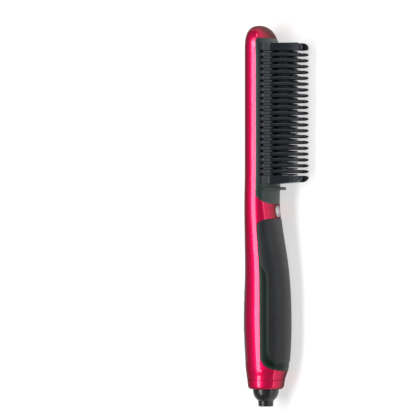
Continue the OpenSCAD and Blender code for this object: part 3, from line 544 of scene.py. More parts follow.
s = np.linspace(-1, 1, 61)
low, high = panel_ends(s)
run = PANEL_STOP - PANEL_START
along = np.concatenate([np.linspace(0, 0.09, 8)[:-1], (np.arange(KEYS_LOW, KEYS_HIGH, 0.5) - PANEL_START) / run,
                        np.linspace((KEYS_HIGH - PANEL_START) / run, 1, 68)])
rows = np.array([low + (high - low) * t for t in np.unique(np.round(along, 5))])
points = skin(rows, angle_across(rows, s * panel_half(rows)))
points[..., 1] -= dish(points[..., 0], points[..., 2])
piece = mesh_piece("panel_cover", quilt([(points, None)]))
thickened(piece, PANEL_THICK)
holes = [(oval_outline(side, KEY_GAP, 20), HOLE_BOTTOM) for side in (1, -1)]
holes += [(circle_outline(POWER_PLACE, POWER_RADIUS + KEY_GAP), HOLE_BOTTOM),
          (circle_outline(OVAL_PLACE, DIMPLE_RADIUS, 24), DIMPLE_BOTTOM)]
plugs = []
for outline, bottom in holes:
    plug = joined("hole", [banded([[(x, y, z) for x, z in outline] for y in (HOLE_TOP, bottom)])])
    cut = piece.modifiers.new("hole", "BOOLEAN")
    cut.object = plug
    cut.solver = "EXACT"
    plugs.append(plug)
holed = piece.evaluated_get(bpy.context.evaluated_depsgraph_get())
piece.data = bpy.data.meshes.new_from_object(holed)
piece.modifiers.clear()
for plug in plugs:
    bpy.data.objects.remove(plug)
piece.data.shade_smooth()
rounded(piece, PANEL_EDGE, 2, 42)
finished(piece, PANEL_BLACK, "housing", "back_panel", slot="panel_black")


# Comb frame: a matte green-black moulding that frames the comb and the upper neck. It holds the
# guard comb down by two thin bands, and the low wall across it keeps hair off the neck.
BAND_WIDTH = 2.7
FRAME_WALL, FRAME_EDGE, FRAME_SEAM = 1.6, 0.25, 0.12
RIDGE_STANDS, RIDGE_PLACES, RIDGE_ROUND = 4.8, (COMB_START - 4.4, COMB_START - 2.2), 0.55


def lighter(colour, gain, lift):
    return tuple(min(c * gain + lift, 1) for c in colour)


def moulded_black(name, dark, light, rough=(0.34, 0.48), grain=2600, strength=0.2, gloss=0.5):
    return mottled(name, (dark, light), (90, 4, 0.6), (300, 3), rough, (grain, 3), (strength, 0.06),
                   lighter(light, 3, 0.02), Specular_IOR_Level=gloss)


FRAME_BLACK = moulded_black("frame_green_black", (0.010, 0.025, 0.022), (0.016, 0.035, 0.031))

side, across = 8, 30
s = back_columns(side, across)
inner = np.clip(s, -1, 1)
out = np.clip(np.abs(s) - 1, 0, 1)


def frame_angles(x):
    flat = 180 - (180 - angle_below(x, BAND_WIDTH)) * inner
    return flat + (np.where(s > 0, 90, 270) - flat) * out


level = np.ones_like(s)
window_low, window_high = COMB_START - SEAT_GAP, COMB_END + SEAT_GAP
neck = steps(frame_edge(frame_angles((FRAME_START + 4) * level)), window_low, 12)
sides = steps(window_low * level, window_high, 40)[1:]
stop = FRAME_STOP - FRAME_SEAM - corner_cut(-skin(FRAME_STOP, frame_angles(FRAME_STOP * level))[..., 1])
rows = np.array(neck + sides + steps(window_high, stop, 5)[1:])


def window(i, j):
    return len(neck) - 1 <= i <= len(neck) + len(sides) - 2 and side <= j < side + across


points = skin(rows, np.array([frame_angles(r) for r in rows]))
piece = walled("comb_surround", [(points, window)], FRAME_WALL, FRAME_EDGE)
finished(piece, FRAME_BLACK, "housing", "comb_frame", slot="frame_black")


def mirrored(side):
    """The other side of a section, in the order that closes its outline."""
    return [(d, -z) for d, z in reversed(side)]


def prism(outline, low, high, rounding):
    """An outline of depth and z pulled along X, with its edges rounded."""
    bm = banded([[(x, -d, z) for d, z in outline] for x in (low, high)])
    if rounding:
        bmesh.ops.bevel(bm, geom=list(bm.edges), offset=rounding, segments=2, profile=0.5,
                        affect="EDGES", clamp_overlap=True)
    return bm


low = belly_of(COMB_START)
top = low + RIDGE_STANDS
side = [(low - 7, 18.2), (low - 5.8, 17.9), (low - 4.5, 17.3), (low - 3, 16.2), (low - 1.2, 14.1),
        (low + 0.7, 12.0), (low + RIDGE_STANDS / 2, 9.9), (top - 1.0, 7.6), (top - 0.25, 6.0), (top, 4.4)]
piece = joined("neck_ridge", [prism(side + mirrored(side), *RIDGE_PLACES, RIDGE_ROUND)])
rounded(piece, 0.08, 1, 60)
finished(piece, FRAME_BLACK, "housing", slot="frame_black")


# Guard comb: two rows of cool teeth joined under a trough, moulded in one piece of heat-proof
# nylon with a wall at each end, and held under the frame's bands. Each pair of teeth is a rounded
# hoop that thins and rounds off towards its tips.
GAP_FIRST, TOOTH_PITCH, TOOTH_COUNT = 154.6, 4.2, 21
TOOTH_THICK, TIP_THICK, SLOT_WIDTH = 2.5, 0.9, 1.4
GAP_HALF = (TOOTH_PITCH - TOOTH_THICK) / 2
RAIL_HALF, RAIL_INNER = 16.0, 12.6
FLUSH_DEPTH = 19.0
BAND_DEPTH = HEAD_PARTING + BAND_WIDTH
LEDGE_DEPTH, SLOT_DEPTH, ROOT_DEPTH = BAND_DEPTH + 0.2, BAND_DEPTH + 0.4, BAND_DEPTH + 2.3
FLOOR_DEPTH, FLOOR_HALF, TROUGH_FLOOR, WEB_DEPTH = 22.4, 9.6, 25.2, 24.3
TAPER_DEPTH, TIP_DEPTH, TIP_SPAN, TROUGH = 36.5, 45.5, 16.6, 12.4
TIP_INNER = [(TIP_DEPTH, TROUGH / 2 + 0.5), (TIP_DEPTH - 1.5, TROUGH / 2)]
ROOTS = [(FLOOR_DEPTH, FLOOR_HALF), (ROOT_DEPTH, RAIL_INNER)]
# The thinning of a tooth as (distance from the tip, share) columns
TIP_CUT = [0, 0.35, 0.8, 1.4, 2.3, 3.4], [1, 0.74, 0.5, 0.31, 0.1, 0]
# A tooth's barrelled side as (share of its half thickness, inset of its outline)
BARREL = [(-1, 0.62), (-0.92, 0.36), (-0.76, 0.17), (-0.5, 0.06), (-0.2, 0.01)]
END_PLATE, END_CORNER = 0.5, 4.0

TOOTH_GREY = moulded_black("tooth_slate_grey", (0.008, 0.0105, 0.015), (0.013, 0.017, 0.024),
                           (0.2, 0.3), 1500, 0.1)


def flank_z(depth):
    """How far out the comb's flank stands at a depth: flush with the frame, then easing to the tips."""
    if depth <= FLUSH_DEPTH:
        x = (COMB_START + COMB_END) / 2
        return float(skin(x, angle_below(x, depth - HEAD_PARTING))[..., 2])
    return float(smooth([(FLUSH_DEPTH, flank_z(FLUSH_DEPTH)), (20.6, 16.3), (22.0, 14.35), (23.6, 12.9),
                         (26.0, 11.75), (29.3, 10.6), (33.0, 9.6), (TAPER_DEPTH, 8.85), (41.0, 8.45),
                         (TIP_DEPTH - 1.5, 8.3), (TIP_DEPTH, TIP_SPAN / 2 - 0.6)], depth))


def flank(low, high=TIP_DEPTH):
    """The flank's points from one depth to another."""
    stations = (18.4, 19.0, 19.6, 20.2, 20.8, 21.4, 22.0, 22.7, 23.4, 24.2, 25.1, 26.2, 27.6, 29.3, 31.2,
                33.0, 34.8, TAPER_DEPTH, 39.0, 41.5, TIP_DEPTH - 1.5, TIP_DEPTH - 0.6, TIP_DEPTH)
    return [(d, flank_z(d)) for d in (low, *stations) if d == low or low + 0.4 < d <= high]


def tooth_half(depth):
    """Half the thickness of a tooth at a depth: straight, then rounded off to its tip."""
    return (TOOTH_THICK - (TOOTH_THICK - TIP_THICK) * np.interp(TIP_DEPTH - depth, *TIP_CUT)) / 2


def inset(outline, run):
    """A closed outline drawn in evenly along its own normals."""
    points = np.array(outline, float)
    edges = np.roll(points, -1, axis=0) - points
    edges /= np.hypot(*edges.T)[:, None]
    along = edges + np.roll(edges, 1, axis=0)
    along /= np.hypot(*along.T)[:, None]
    x, y = points.T
    turn = np.sign(np.sum(x * np.roll(y, -1) - np.roll(x, -1) * y))
    return points + turn * run * np.stack([-along[:, 1], along[:, 0]], axis=1)


def sliced(bm, axis, places):
    """Cuts through a bmesh at places along an axis, so that it can be shaped."""
    for place in places:
        bmesh.ops.bisect_plane(bm, geom=bm.verts[:] + bm.edges[:] + bm.faces[:],
                               plane_co=Vector(axis) * place, plane_no=axis)
    return bm


def cool_tooth():
    """One hoop, barrelled across its thickness so that its upper edge catches the light."""
    leg = flank(ROOT_DEPTH) + TIP_INNER + [(TROUGH_FLOOR + 0.8, TROUGH / 2), (TROUGH_FLOOR, TROUGH / 2 - 0.6)]
    outline = leg + mirrored(leg) + mirrored(ROOTS) + ROOTS
    barrel = BARREL + [(-x, run) for x, run in reversed(BARREL)]
    bm = banded([[(x, -d, z) for d, z in inset(outline, run)] for x, run in barrel])
    depths = (28, 32, TAPER_DEPTH, 40.5, 41.8, 42.4, 43, 43.5, 43.9, 44.3, 44.7, 45.1, 45.3)
    for v in sliced(bm, (0, -1, 0), depths).verts:
        v.co.x *= float(tooth_half(-v.co.y))
    return bm


def web(place, side):
    """The floor of a gap on one side, drawn out to a rounded tongue between two teeth."""
    inner, outer = side * (TROUGH / 2 + 0.15), flank_z(WEB_DEPTH)
    outline = [(ROOT_DEPTH, inner)] + [(d, side * (z - 0.45)) for d, z in flank(ROOT_DEPTH, 24.0)]
    outline += [(WEB_DEPTH, side * (outer - 0.75)), (WEB_DEPTH + 0.7, side * (outer - 2.2)),
                (WEB_DEPTH + 0.7, inner)]
    bm = sliced(prism(outline, -1, 1, 0.16), (0, -1, 0), (21.4, 22.4, 23.4, 24.2, 24.8))
    for v in sliced(bm, (1, 0, 0), (-0.75, -0.5, -0.25, 0, 0.25, 0.5, 0.75)).verts:
        v.co.z -= side * 0.55 * v.co.x ** 2 * (side * v.co.z > TROUGH / 2 + 0.5)
        nose = np.clip((-v.co.y - (WEB_DEPTH - 2.0)) / 2.8, 0, 1)
        v.co.x = place + v.co.x * (GAP_HALF + 0.1 - (GAP_HALF - 0.25) * nose ** 2)
    return bm


def block(place, side):
    """The short block between two grooves beside the frame's band."""
    half, foot = (TOOTH_PITCH - SLOT_WIDTH) / 2, ROOT_DEPTH + 0.15
    outline = [(SLOT_DEPTH, side * RAIL_INNER)]
    outline += [(d, side * (z - 0.02)) for d, z in flank(SLOT_DEPTH, ROOT_DEPTH)]
    outline += [(foot, side * flank_z(foot)), (foot, side * RAIL_INNER)]
    return prism(outline, place - half, place + half, 0.3)


def end_wall(low, high, lean_in, lean_out):
    """An end wall, filled across the trough, whose two faces lean in by depth."""
    side = flank(LEDGE_DEPTH) + TIP_INNER + [(TIP_DEPTH - 5, TROUGH / 2 - 0.6)]
    roots = ROOTS + [(LEDGE_DEPTH, RAIL_INNER)]
    bm = prism(side + mirrored(side) + mirrored(roots) + roots, low, high, 0.45)
    for v in sliced(bm, (0, -1, 0), np.arange(19, 45.4, 1.1)).verts:
        depth = -v.co.y
        share = (v.co.x - low) / (high - low)
        v.co.x = low + lean_in(depth) + share * (high - lean_out(depth) - low - lean_in(depth))
    return bm


def copied(bm, place):
    """A copy of a bmesh moved along X."""
    twin = bm.copy()
    for v in twin.verts:
        v.co.x += place
    return twin


gaps = [GAP_FIRST + i * TOOTH_PITCH for i in range(TOOTH_COUNT + 1)]
middles = [(a + b) / 2 for a, b in zip(gaps, gaps[1:])]
tooth = cool_tooth()
parts = [copied(tooth, x) for x in middles]
tooth.free()
rail_top, ledge, lip = HEAD_PARTING - 1.3, SLOT_DEPTH + 0.05, flank_z(LEDGE_DEPTH)
for side in (-1, 1):
    inner, outer = side * RAIL_INNER, side * RAIL_HALF
    rail = [(rail_top, inner), (rail_top, outer), (SLOT_DEPTH, outer), (SLOT_DEPTH, inner)]
    parts.append(prism(rail, COMB_START, COMB_END, 0.1))
    strip = [(LEDGE_DEPTH, inner), (LEDGE_DEPTH, side * (lip - 0.1)),
             (ledge, side * (lip - 0.18)), (ledge, inner)]
    parts.append(prism(strip, COMB_START + 0.3, COMB_END - 0.3, 0.06))
    parts += [web(x, side) for x in gaps]
    parts += [block(x, side) for x in middles]


def foot(depth):
    """How far the lower wall's outer face leans in."""
    return float(np.interp(depth, [24.8, TIP_DEPTH - 2.8, TIP_DEPTH], [0, 1.3, 3.6]))


def shoulder(depth):
    """How far the upper wall's rounded corner draws it in."""
    drop = max(depth - (TIP_DEPTH - END_CORNER), 0) / END_CORNER
    return END_CORNER * (1 - math.sqrt(max(1 - drop ** 2, 0)))


def inner_face(depth):
    """How far a wall's inner face draws in, as a tooth does."""
    return float(TOOTH_THICK / 2 - tooth_half(depth))


edge = [(d, float(skin(COMB_END, angle_below(COMB_END, d - HEAD_PARTING), 0.1)[..., 2]))
        for d in np.linspace(LEDGE_DEPTH, belly_of(COMB_END) - 0.35, 14)]
for x in (COMB_START + 0.02, COMB_END - END_PLATE - 0.02):
    parts.append(prism(edge + mirrored(edge), x, x + END_PLATE, 0))
parts.append(end_wall(COMB_START, gaps[0] - GAP_HALF, foot, inner_face))
parts.append(end_wall(gaps[-1] + GAP_HALF, COMB_END, inner_face, shoulder))
piece = joined("cool_comb", parts)
piece.modifiers.new("shading", "WEIGHTED_NORMAL").weight = 60
finished(piece, TOOTH_GREY, "housing", "guard_comb", slot="tooth_grey")


# Heating comb: a cast aluminium bar with a fin in every gap of the guard comb, under a thick dark
# ceramic coat. The steel clamp under it presses it to the heater.
FIN_COAT = 0.13


def dressed(name, material, edge=0.12):
    """Gives a carried solid its finish and eases its edges."""
    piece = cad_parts[name]
    piece.data.materials.clear()
    piece.data.materials.append(material)
    if edge:
        bevelled(piece, edge)
    return piece


FIN_COATED = mottled("ceramic_coated_fins", ((0.005, 0.0055, 0.007), (0.009, 0.0095, 0.011)), (120, 4, 0.6),
                     (600, 3), (0.45, 0.58), (1800, 3), (0.15, 0.05), lighter((0.009, 0.0095, 0.011), 1.8, 0.05),
                     Specular_IOR_Level=0.2, Metallic=0.1)
fins = dressed("heating_comb", FIN_COATED, 0.15)
coat = fins.modifiers.new("coat", "DISPLACE")
coat.strength = FIN_COAT * MM
coat.mid_level = 0


# Grip: a soft elastomer pad bonded into a hard satin carrier. The carrier's rim shows beside the
# pad from the heel to the waist and dies out there in a point; the pad stands just proud of it.
RIM_WIDTH, RIM_PLACE, RIM_TAPER, RIM_SUNK, RIM_WALL, RIM_EDGE = 5.3, 92.0, 9.0, 1.2, 1.0, 0.25
PAD_PROUD, PAD_SKIRT, PAD_WAIST = 0.45, 1.1, 60.0
# The pad's rolled edge, as (run from its outline, depth under the skin)
PAD_ROLL = [(0.0, 1.1), (0.0, 0.25), (0.06, 0.0), (0.2, -0.2), (0.45, -0.36), (0.9, -PAD_PROUD)]


def pad_drop(x):
    u = np.clip((RIM_PLACE - x) / RIM_TAPER, 0, 1)
    return 2 * SEAT_GAP + RIM_WIDTH * u * u * (3 - 2 * u)


def grip_loop(start, stop, drop):
    """A closed loop round the grip: both arched ends and both sides, as places and angles."""
    s = shares(61)
    low, high = arched(start, stop, s)
    side = np.linspace(low[-1], high[-1], 60)[1:-1]
    x = np.concatenate([low, side, high[::-1], side[::-1]])
    share = np.concatenate([s, np.ones_like(side), s[::-1], -np.ones_like(side)])
    return x, 180 - (180 - angle_below(x, drop(x))) * share


# The rim between the carrier's outline and the pad's, with a short lip under the pad
outer = np.array(grip_loop(CARRIER_START, PAD_STOP, lambda x: np.full_like(x, SEAT_GAP)))
inner = np.array(grip_loop(PAD_START - 0.12, PAD_STOP + 0.02,
                           lambda x: np.maximum(pad_drop(x) - 0.12, SEAT_GAP + 0.05)))
width = np.hypot(outer[0] - inner[0], (outer[1] - inner[1]) * 0.3)
sunk = RIM_SUNK * np.clip(1 - width, 0, 1)
rows = [skin(*loop, sunk) for loop in steps(outer, inner, 8)]
rows += [skin(*inner, sunk + lip) for lip in (0.5, 1.2)]
points = np.array(rows)
points = np.concatenate([points, points[:, :1]], axis=1)
piece = walled("grip_rim", [(points[:, ::-1], None)], RIM_WALL, RIM_EDGE, 3, 0.01)
black = moulded_black("rim_green_black", (0.003, 0.010, 0.0065), (0.005, 0.014, 0.009), (0.3, 0.42), gloss=0.2)
finished(piece, black, "housing", "grip_carrier", slot="carrier_black")

SOFT_GRIP = mottled("soft_grip_grey", ((0.0125, 0.0135, 0.0155), (0.020, 0.0215, 0.0245)), (45, 5, 0.65),
                    (150, 4), (0.42, 0.54), (3400, 3, 0.6), (0.3, 0.06), (0.10, 0.10, 0.105),
                    Specular_IOR_Level=0.35, Sheen_Weight=0.22, Sheen_Roughness=0.4)

s = shares(57)
low, high = arched(PAD_START, PAD_STOP, s)
flat = PAD_ROLL[-1][0]
rows = [low + run for run, _ in PAD_ROLL]
rows += steps(low + flat, high - flat, 64)[1:-1]
rows += [high - run for run, _ in reversed(PAD_ROLL)]
depths = [depth for _, depth in PAD_ROLL]
depths += [-PAD_PROUD] * (len(rows) - 2 * len(PAD_ROLL)) + depths[::-1]
rows = np.array(rows)
angles = 180 - (180 - angle_below(rows, pad_drop(rows))) * s
reach = (1 - np.abs(s)) * half_width(np.full_like(s, PAD_WAIST)) * 1.6
rolled = np.interp(reach, [0.0, 0.06, 0.2, 0.45, 0.9], [0.0, -0.12, -0.24, -0.36, -PAD_PROUD])
points = skin(rows, angles, np.maximum(np.array(depths)[:, None], rolled))
skirt = skin(rows, angles, PAD_SKIRT)
grid = np.concatenate([skirt[:, :1], points, skirt[:, -1:]], axis=1)
piece = mesh_piece("grip_pad_skin", quilt([(grid[:, ::-1], None)]))
finished(piece, SOFT_GRIP, "housing", "grip_pad", slot="soft_grip")


# Neck disc: a plain metallised plastic disc with a raised ring, a groove and a domed middle, which
# is pressed into a pocket on the neck.
DISC_PLACE, DISC_RADIUS, DISC_LIFT = 128.15, 4.15, 0.3
# The disc's section, as (distance from its edge, height) and then (radius, height) of the dome
DISC_RING = [(0, 1.0), (0, 0.1), (0.1, -0.08), (0.3, -0.17), (0.65, -0.17), (0.85, -0.05), (0.92, 0.5),
             (1.55, 0.5), (1.62, 0.1), (1.8, 0.02)]
DISC_DOME = [(1.2, -0.06), (0.2, -0.08)]


def silver(name, dark, light, metallic, rough=(0.26, 0.36)):
    return mottled(name, (dark, light), (240, 4, 0.6), (900, 3), rough, (3000, 2), (0.15, 0.03),
                   (0.9, 0.88, 0.9), Metallic=metallic)


def lathed(profile, point, count=64):
    """A turned solid from steps of radius and height; point places them about the axis."""
    turns = [2 * math.pi * k / count for k in range(count)]
    return banded([[point(height, radius * math.cos(a), radius * math.sin(a)) for a in turns]
                   for radius, height in profile])


top = -float(belly_of(DISC_PLACE)) - DISC_LIFT
profile = [(DISC_RADIUS - run, height) for run, height in DISC_RING] + DISC_DOME
disc = lathed(profile, lambda height, u, v: (DISC_PLACE + u, top + height, v))
fall = float(belly_of(DISC_PLACE + 1) - belly_of(DISC_PLACE - 1)) / 2
for v in disc.verts:
    v.co.y -= fall * (v.co.x - DISC_PLACE)
piece = joined("neck_disc", [disc])
rounded(piece, 0.03, 1, 50)
bright = silver("disc_silver", (0.74, 0.70, 0.73), (0.86, 0.83, 0.85), 0.6)
finished(piece, bright, "housing", "badge_disc", slot="disc_silver")


# Keys: three metallised plastic keys that press in through the panel, a split rounded oval about a
# dimple and a round power key. Each has a rolled rim, a flange behind the panel and a stem that
# reaches its switch.
KEY_SILVER = silver("key_silver", (0.60, 0.57, 0.61), (0.72, 0.69, 0.73), 0.5, (0.3, 0.42))
KEY_PROUD, KEY_CROWN, KEY_ASIDE = 0.55, 0.2, 6
POWER_OUTLINE = circle_outline(POWER_PLACE, POWER_RADIUS, 64)
PANEL_UNDER, FLANGE_REACH, FLANGE_THICK, STEM_END, STEM_RADIUS = 2.95, 0.6, 0.5, 3.6, 1.6
# The rolled rim, as (run from the outline, drop)
KEY_RIM = [(0.0, 0.38), (0.05, 0.2), (0.17, 0.07), (0.34, 0.0), (0.62, -0.015), (0.8, 0.02)]


def shrunk(outline, run):
    """An outline moved inwards by a distance, kept simple by moving towards its middle."""
    points = np.array(outline, float)
    middle = points.mean(axis=0)
    reach = np.hypot(*(points - middle).T)
    return middle + (points - middle) * (1 - run / np.maximum(reach, run + 0.3))[:, None]


def key_top(centre, outline):
    """The height of a key's crowned face at a place and z."""
    middle = np.array(outline).mean(axis=0)
    size = np.hypot(*(np.array(outline) - middle).T).max()
    top = -float(back_of(centre)) + KEY_PROUD
    return lambda x, z: top - KEY_CROWN * (np.hypot(x - middle[0], z - middle[1]) / size) ** 2


def key(name, outline, centre, body, node):
    middle, face = np.array(outline).mean(axis=0), key_top(centre, outline)
    under = ((FLANGE_REACH, -PANEL_UNDER - FLANGE_THICK), (FLANGE_REACH, -PANEL_UNDER), (0, -PANEL_UNDER))
    rings = [[(x, height, z) for x, z in shrunk(outline, -reach)] for reach, height in under]
    rings += [[(x, face(x, z) - drop, z) for x, z in shrunk(outline, run)] for run, drop in KEY_RIM]
    run, drop = KEY_RIM[-1]
    for share in (0.62, 0.4, 0.2, 0.06):
        ring = middle + (shrunk(outline, run) - middle) * share
        rings.append([(x, face(x, z) - drop, z) for x, z in ring])
    stem = [(STEM_RADIUS, -PANEL_UNDER - 0.3), (STEM_RADIUS, 0.12 - STEM_END), (STEM_RADIUS - 0.15, -STEM_END)]
    stem = lathed(stem, lambda height, u, v: (centre + u, height, v), 24)
    piece = joined(name, [banded(rings), stem])
    rounded(piece, 0.05, 1, 55)
    finished(piece, KEY_SILVER, body, node, slot="button_silver")


key("up_key_cap", oval_outline(1), OVAL_PLACE + KEY_ASIDE, "up_key", "up_button")
key("down_key_cap", oval_outline(-1), OVAL_PLACE - KEY_ASIDE, "down_key", "down_button")
key("power_key_cap", POWER_OUTLINE, POWER_PLACE, "power_key", "power_button")


# Marks: thin printed dashes and a plain power symbol on the keys, and behind the panel's tint an
# unlit row of seven-bar numbers with a tapered level scale beside it.
DIGIT_PLACES, DIGIT_HIGH, DIGIT_WIDE, DIGIT_BAR, DIGIT_LEAN = (98.8, 104.6, 110.4, 116.2), 5.6, 3.6, 0.5, 0.35
DIGIT_GAP = 0.07
SCALE_START, SCALE_STOP = 96.5, 122.5


def ink(name, colour, rough=0.5):
    return mottled(name, (colour, lighter(colour, 1.25, 0)), (900, 4, 0.7), (700, 2),
                   (rough - 0.08, rough + 0.08), (3800, 2), (0.1, 0.01))


KEY_INK = ink("key_ink", (0.10, 0.095, 0.11))
PANEL_INK = ink("unlit_bars", (0.030, 0.028, 0.034), 0.4)


def printed(name, strokes, surface, material, body, lift=0.01, thick=0.05):
    """Strokes of ink that follow a surface; each is a list of its left and right points."""
    bm = bmesh.new()
    for stroke in strokes:
        places = np.array([steps(left, right, 3) for left, right in stroke])
        x, z = places[..., 0], places[..., 1]
        points = laid(np.stack([x, surface(x, z) + lift, z], axis=-1))
        verts = [[bm.verts.new(point) for point in row] for row in points]
        for lower, upper in zip(verts, verts[1:]):
            for k in range(2):
                bm.faces.new((lower[k], upper[k], upper[k + 1], lower[k + 1]))
    bmesh.ops.recalc_face_normals(bm, faces=bm.faces)
    piece = mesh_piece(name, bm)
    thickened(piece, thick, 0)
    finished(piece, material, body)


def bar(a, b, width, count=6):
    """A straight stroke between two points of place and z."""
    a, b = np.array(a, float), np.array(b, float)
    side = np.array([a[1] - b[1], b[0] - a[0]]) / np.hypot(*(b - a)) * width / 2
    return [(point + side, point - side) for point in steps(a, b, count)]


def arc(centre, radius, low, high, width, count=20):
    rays = [np.array([math.cos(a), math.sin(a)]) for a in np.radians(np.linspace(low, high, count))]
    return [(centre + ray * (radius + width / 2), centre + ray * (radius - width / 2)) for ray in rays]


def seven_bars(place):
    """An unlit number eight that reads with the handle held level."""
    def at(u, v):
        return place - DIGIT_WIDE * (v - 0.5) - DIGIT_LEAN * (u - 0.5), DIGIT_HIGH * (u - 0.5)
    across = [((u, DIGIT_GAP), (u, 1 - DIGIT_GAP)) for u in (0, 0.5, 1)]
    upright = [((low, v), (low + 0.4, v)) for v in (0, 1) for low in (0.05, 0.55)]
    return [bar(at(*a), at(*b), DIGIT_BAR, 3) for a, b in across + upright]


for name, side in (("up", 1), ("down", -1)):
    place = OVAL_PLACE + side * 5.7
    dashes = [bar((place, -1.5), (place, 0.5), 0.45), bar((place, 0.85), (place, 1.9), 0.45)]
    face = key_top(OVAL_PLACE + side * KEY_ASIDE, oval_outline(side))
    printed(name + "_key_mark", dashes, face, KEY_INK, name + "_key")
symbol = [arc((POWER_PLACE, 0), 1.75, 35, 325, 0.42), bar((POWER_PLACE + 0.5, 0), (POWER_PLACE + 2.3, 0), 0.42)]
face = key_top(POWER_PLACE, POWER_OUTLINE)
printed("power_key_mark", symbol, face, KEY_INK, "power_key")

strokes = [stroke for place in DIGIT_PLACES for stroke in seven_bars(place)]
strokes += [arc((121.9, -1.4), 0.75, 0, 360, 0.35, 25), bar((121.9, 0.4), (121.9, 2.2), 0.35)]
strokes += [arc((91.4, 0.0), 1.3, 0, 360, 0.35, 29), bar((93.6, -1.6), (93.6, 1.6), 0.3)]
low, high = SCALE_START, SCALE_STOP
strokes += [bar((low, 6.4), (high, 6.2), 0.3, 24), bar((low, 7.2), (high, 9.2), 0.3, 24),
            bar((high, 6.05), (high, 9.35), 0.3, 4), bar((low, 6.25), (low, 7.35), 0.3, 3)]
strokes += [bar((x, 4.7), (x, 5.5), 0.28, 3) for x in (low + 3 + 4 * i for i in range(6))]
printed("panel_scale", strokes, back_surface, PANEL_INK, "housing", 0.012, 0.03)


# Swivelling gland: a black nylon ball and neck, turned and polished, that the retainer holds in
# the collar. It swings the cord round as the hand turns.
GLAND_REACH, BALL_RADIUS, BALL_CENTRE, NECK_RADIUS, CORD_RADIUS = 12.5, 9.4, -0.8, 5.5, 3.3
BORE_END = 6.0
# The spigot and flange that the retainer holds, as (place, radius)
GLAND_FLANGE = [(3.0, 7.0), (8.8, 7.0), (8.8, 9.2), (10.8, 9.2)]
# The outside of the neck, as (distance from its mouth, inset) from the lip to the groove
NECK_LIP = [(0, 0.6), (0.12, 0.25), (0.5, 0), (1.3, 0), (1.4, 0.2), (1.7, 0.2), (1.8, 0)]


def ball(x, groove=0.0):
    """The ball's section at a place, as (place, radius)."""
    return x, math.sqrt(BALL_RADIUS ** 2 - (x - BALL_CENTRE) ** 2) - groove


start = -GLAND_REACH
profile = [(BORE_END, CORD_RADIUS), (-11.0, CORD_RADIUS), (start + 0.35, CORD_RADIUS),
           (start + 0.08, CORD_RADIUS + 0.1), (start, CORD_RADIUS + 0.35)]
profile += [(start + run, NECK_RADIUS - cut) for run, cut in NECK_LIP]
profile += [(-9.3, NECK_RADIUS), (-8.9, NECK_RADIUS + 0.06), (-8.55, NECK_RADIUS + 0.3)]
profile += [ball(x) for x in (-8.3, -8.0, -7.6, -7.1, -6.5, -5.8, -5.0, -4.2, -3.4, -2.6)]
profile += [ball(-2.5, 0.08), ball(-2.3, 0.08)]
profile += [ball(x) for x in (-2.2, -1.4, -0.8, 0.0, 1.0, 2.0, 3.0)]
sections = [(radius, x) for x, radius in profile + GLAND_FLANGE]
piece = joined("cord_gland", [lathed(sections, lambda x, u, v: (x, u - GLAND_DEPTH, v), 96)])
rounded(piece, 0.06, 1, 50)
black = moulded_black("gland_black", (0.011, 0.011, 0.013), (0.019, 0.019, 0.022), (0.22, 0.34), 2200, 0.1)
finished(piece, black, "cord_swivel", "swivel_gland", slot="gland_black")


# Inside the head: the ceramic heater under the fins, a mica sheet, a zinc-plated steel plate that
# presses them, the heat-proof tray on the back shell, a glass-bead sensor and a thermal cut-out,
# with their sleeved leads.
def speckled(name, dark, light, scale, metallic=0.0, rough=(0.4, 0.6), grain=1500, stretch=None, strength=0.2):
    return mottled(name, (dark, light), (scale, 5, 0.65), (scale * 2, 3), rough, (grain, 3, 0.5), (strength, 0.05),
                   lighter(light, 1.4, 0.03), (0.32, 0.68), stretch, Metallic=metallic)


def larger(first, second):
    """The larger of two values, point by point."""
    node = beside(first, "Math")
    node.operation = "MAXIMUM"
    for socket, value in zip(node.inputs, (first, second)):
        node.id_data.links.new(value, socket)
    return node.outputs[0]


def braided(name, dark, light, pitch):
    """Woven or ribbed sleeving: crossed waves in colour and height."""
    finish, shader, where = begun(name)
    waves = []
    for turn in (0.7, -0.7):
        strand = beside(where, "Mapping", Vector=where, Rotation=(0.3, turn, turn)).outputs["Vector"]
        waves.append(beside(where, "TexWave", Vector=strand, Scale=pitch, Distortion=0.4).outputs["Fac"])
    both = larger(*waves)
    put(shader, Base_Color=ramp(both, [(0.2, dark), (0.8, light)]), Roughness=0.6)
    bumped(shader, both, 0.4, 0.15)
    return finish


dressed("heater_element", speckled(
    "white_ceramic", (0.70, 0.68, 0.63), (0.80, 0.78, 0.73), 260, rough=(0.35, 0.5), grain=2400))
dressed("heater_insulator", speckled(
    "mica_sheet", (0.30, 0.20, 0.07), (0.52, 0.38, 0.16), 180, 0.15, (0.2, 0.5), 700, (1, 1, 3), 0.4))
dressed("heater_clamp", speckled(
    "zinc_plate", (0.42, 0.43, 0.44), (0.56, 0.57, 0.58), 90, 0.9, (0.3, 0.45), 900, (0.2, 1, 1), 0.1))
dressed("heater_carrier", speckled(
    "heat_proof_tray", (0.055, 0.052, 0.048), (0.085, 0.08, 0.074), 150, rough=(0.45, 0.6), grain=1800))
dressed("temperature_sensor", speckled(
    "amber_glass_bead", (0.40, 0.11, 0.03), (0.62, 0.22, 0.06), 320, rough=(0.1, 0.2), grain=900, strength=0.05), 0)
dressed("thermal_fuse", speckled(
    "fuse_can", (0.58, 0.58, 0.60), (0.70, 0.70, 0.72), 120, 0.95, (0.25, 0.35), 1200, (0.3, 1, 1), 0.08))
dressed("heater_leads", braided("glass_sleeving", (0.55, 0.54, 0.50), (0.78, 0.77, 0.73), 500), 0)


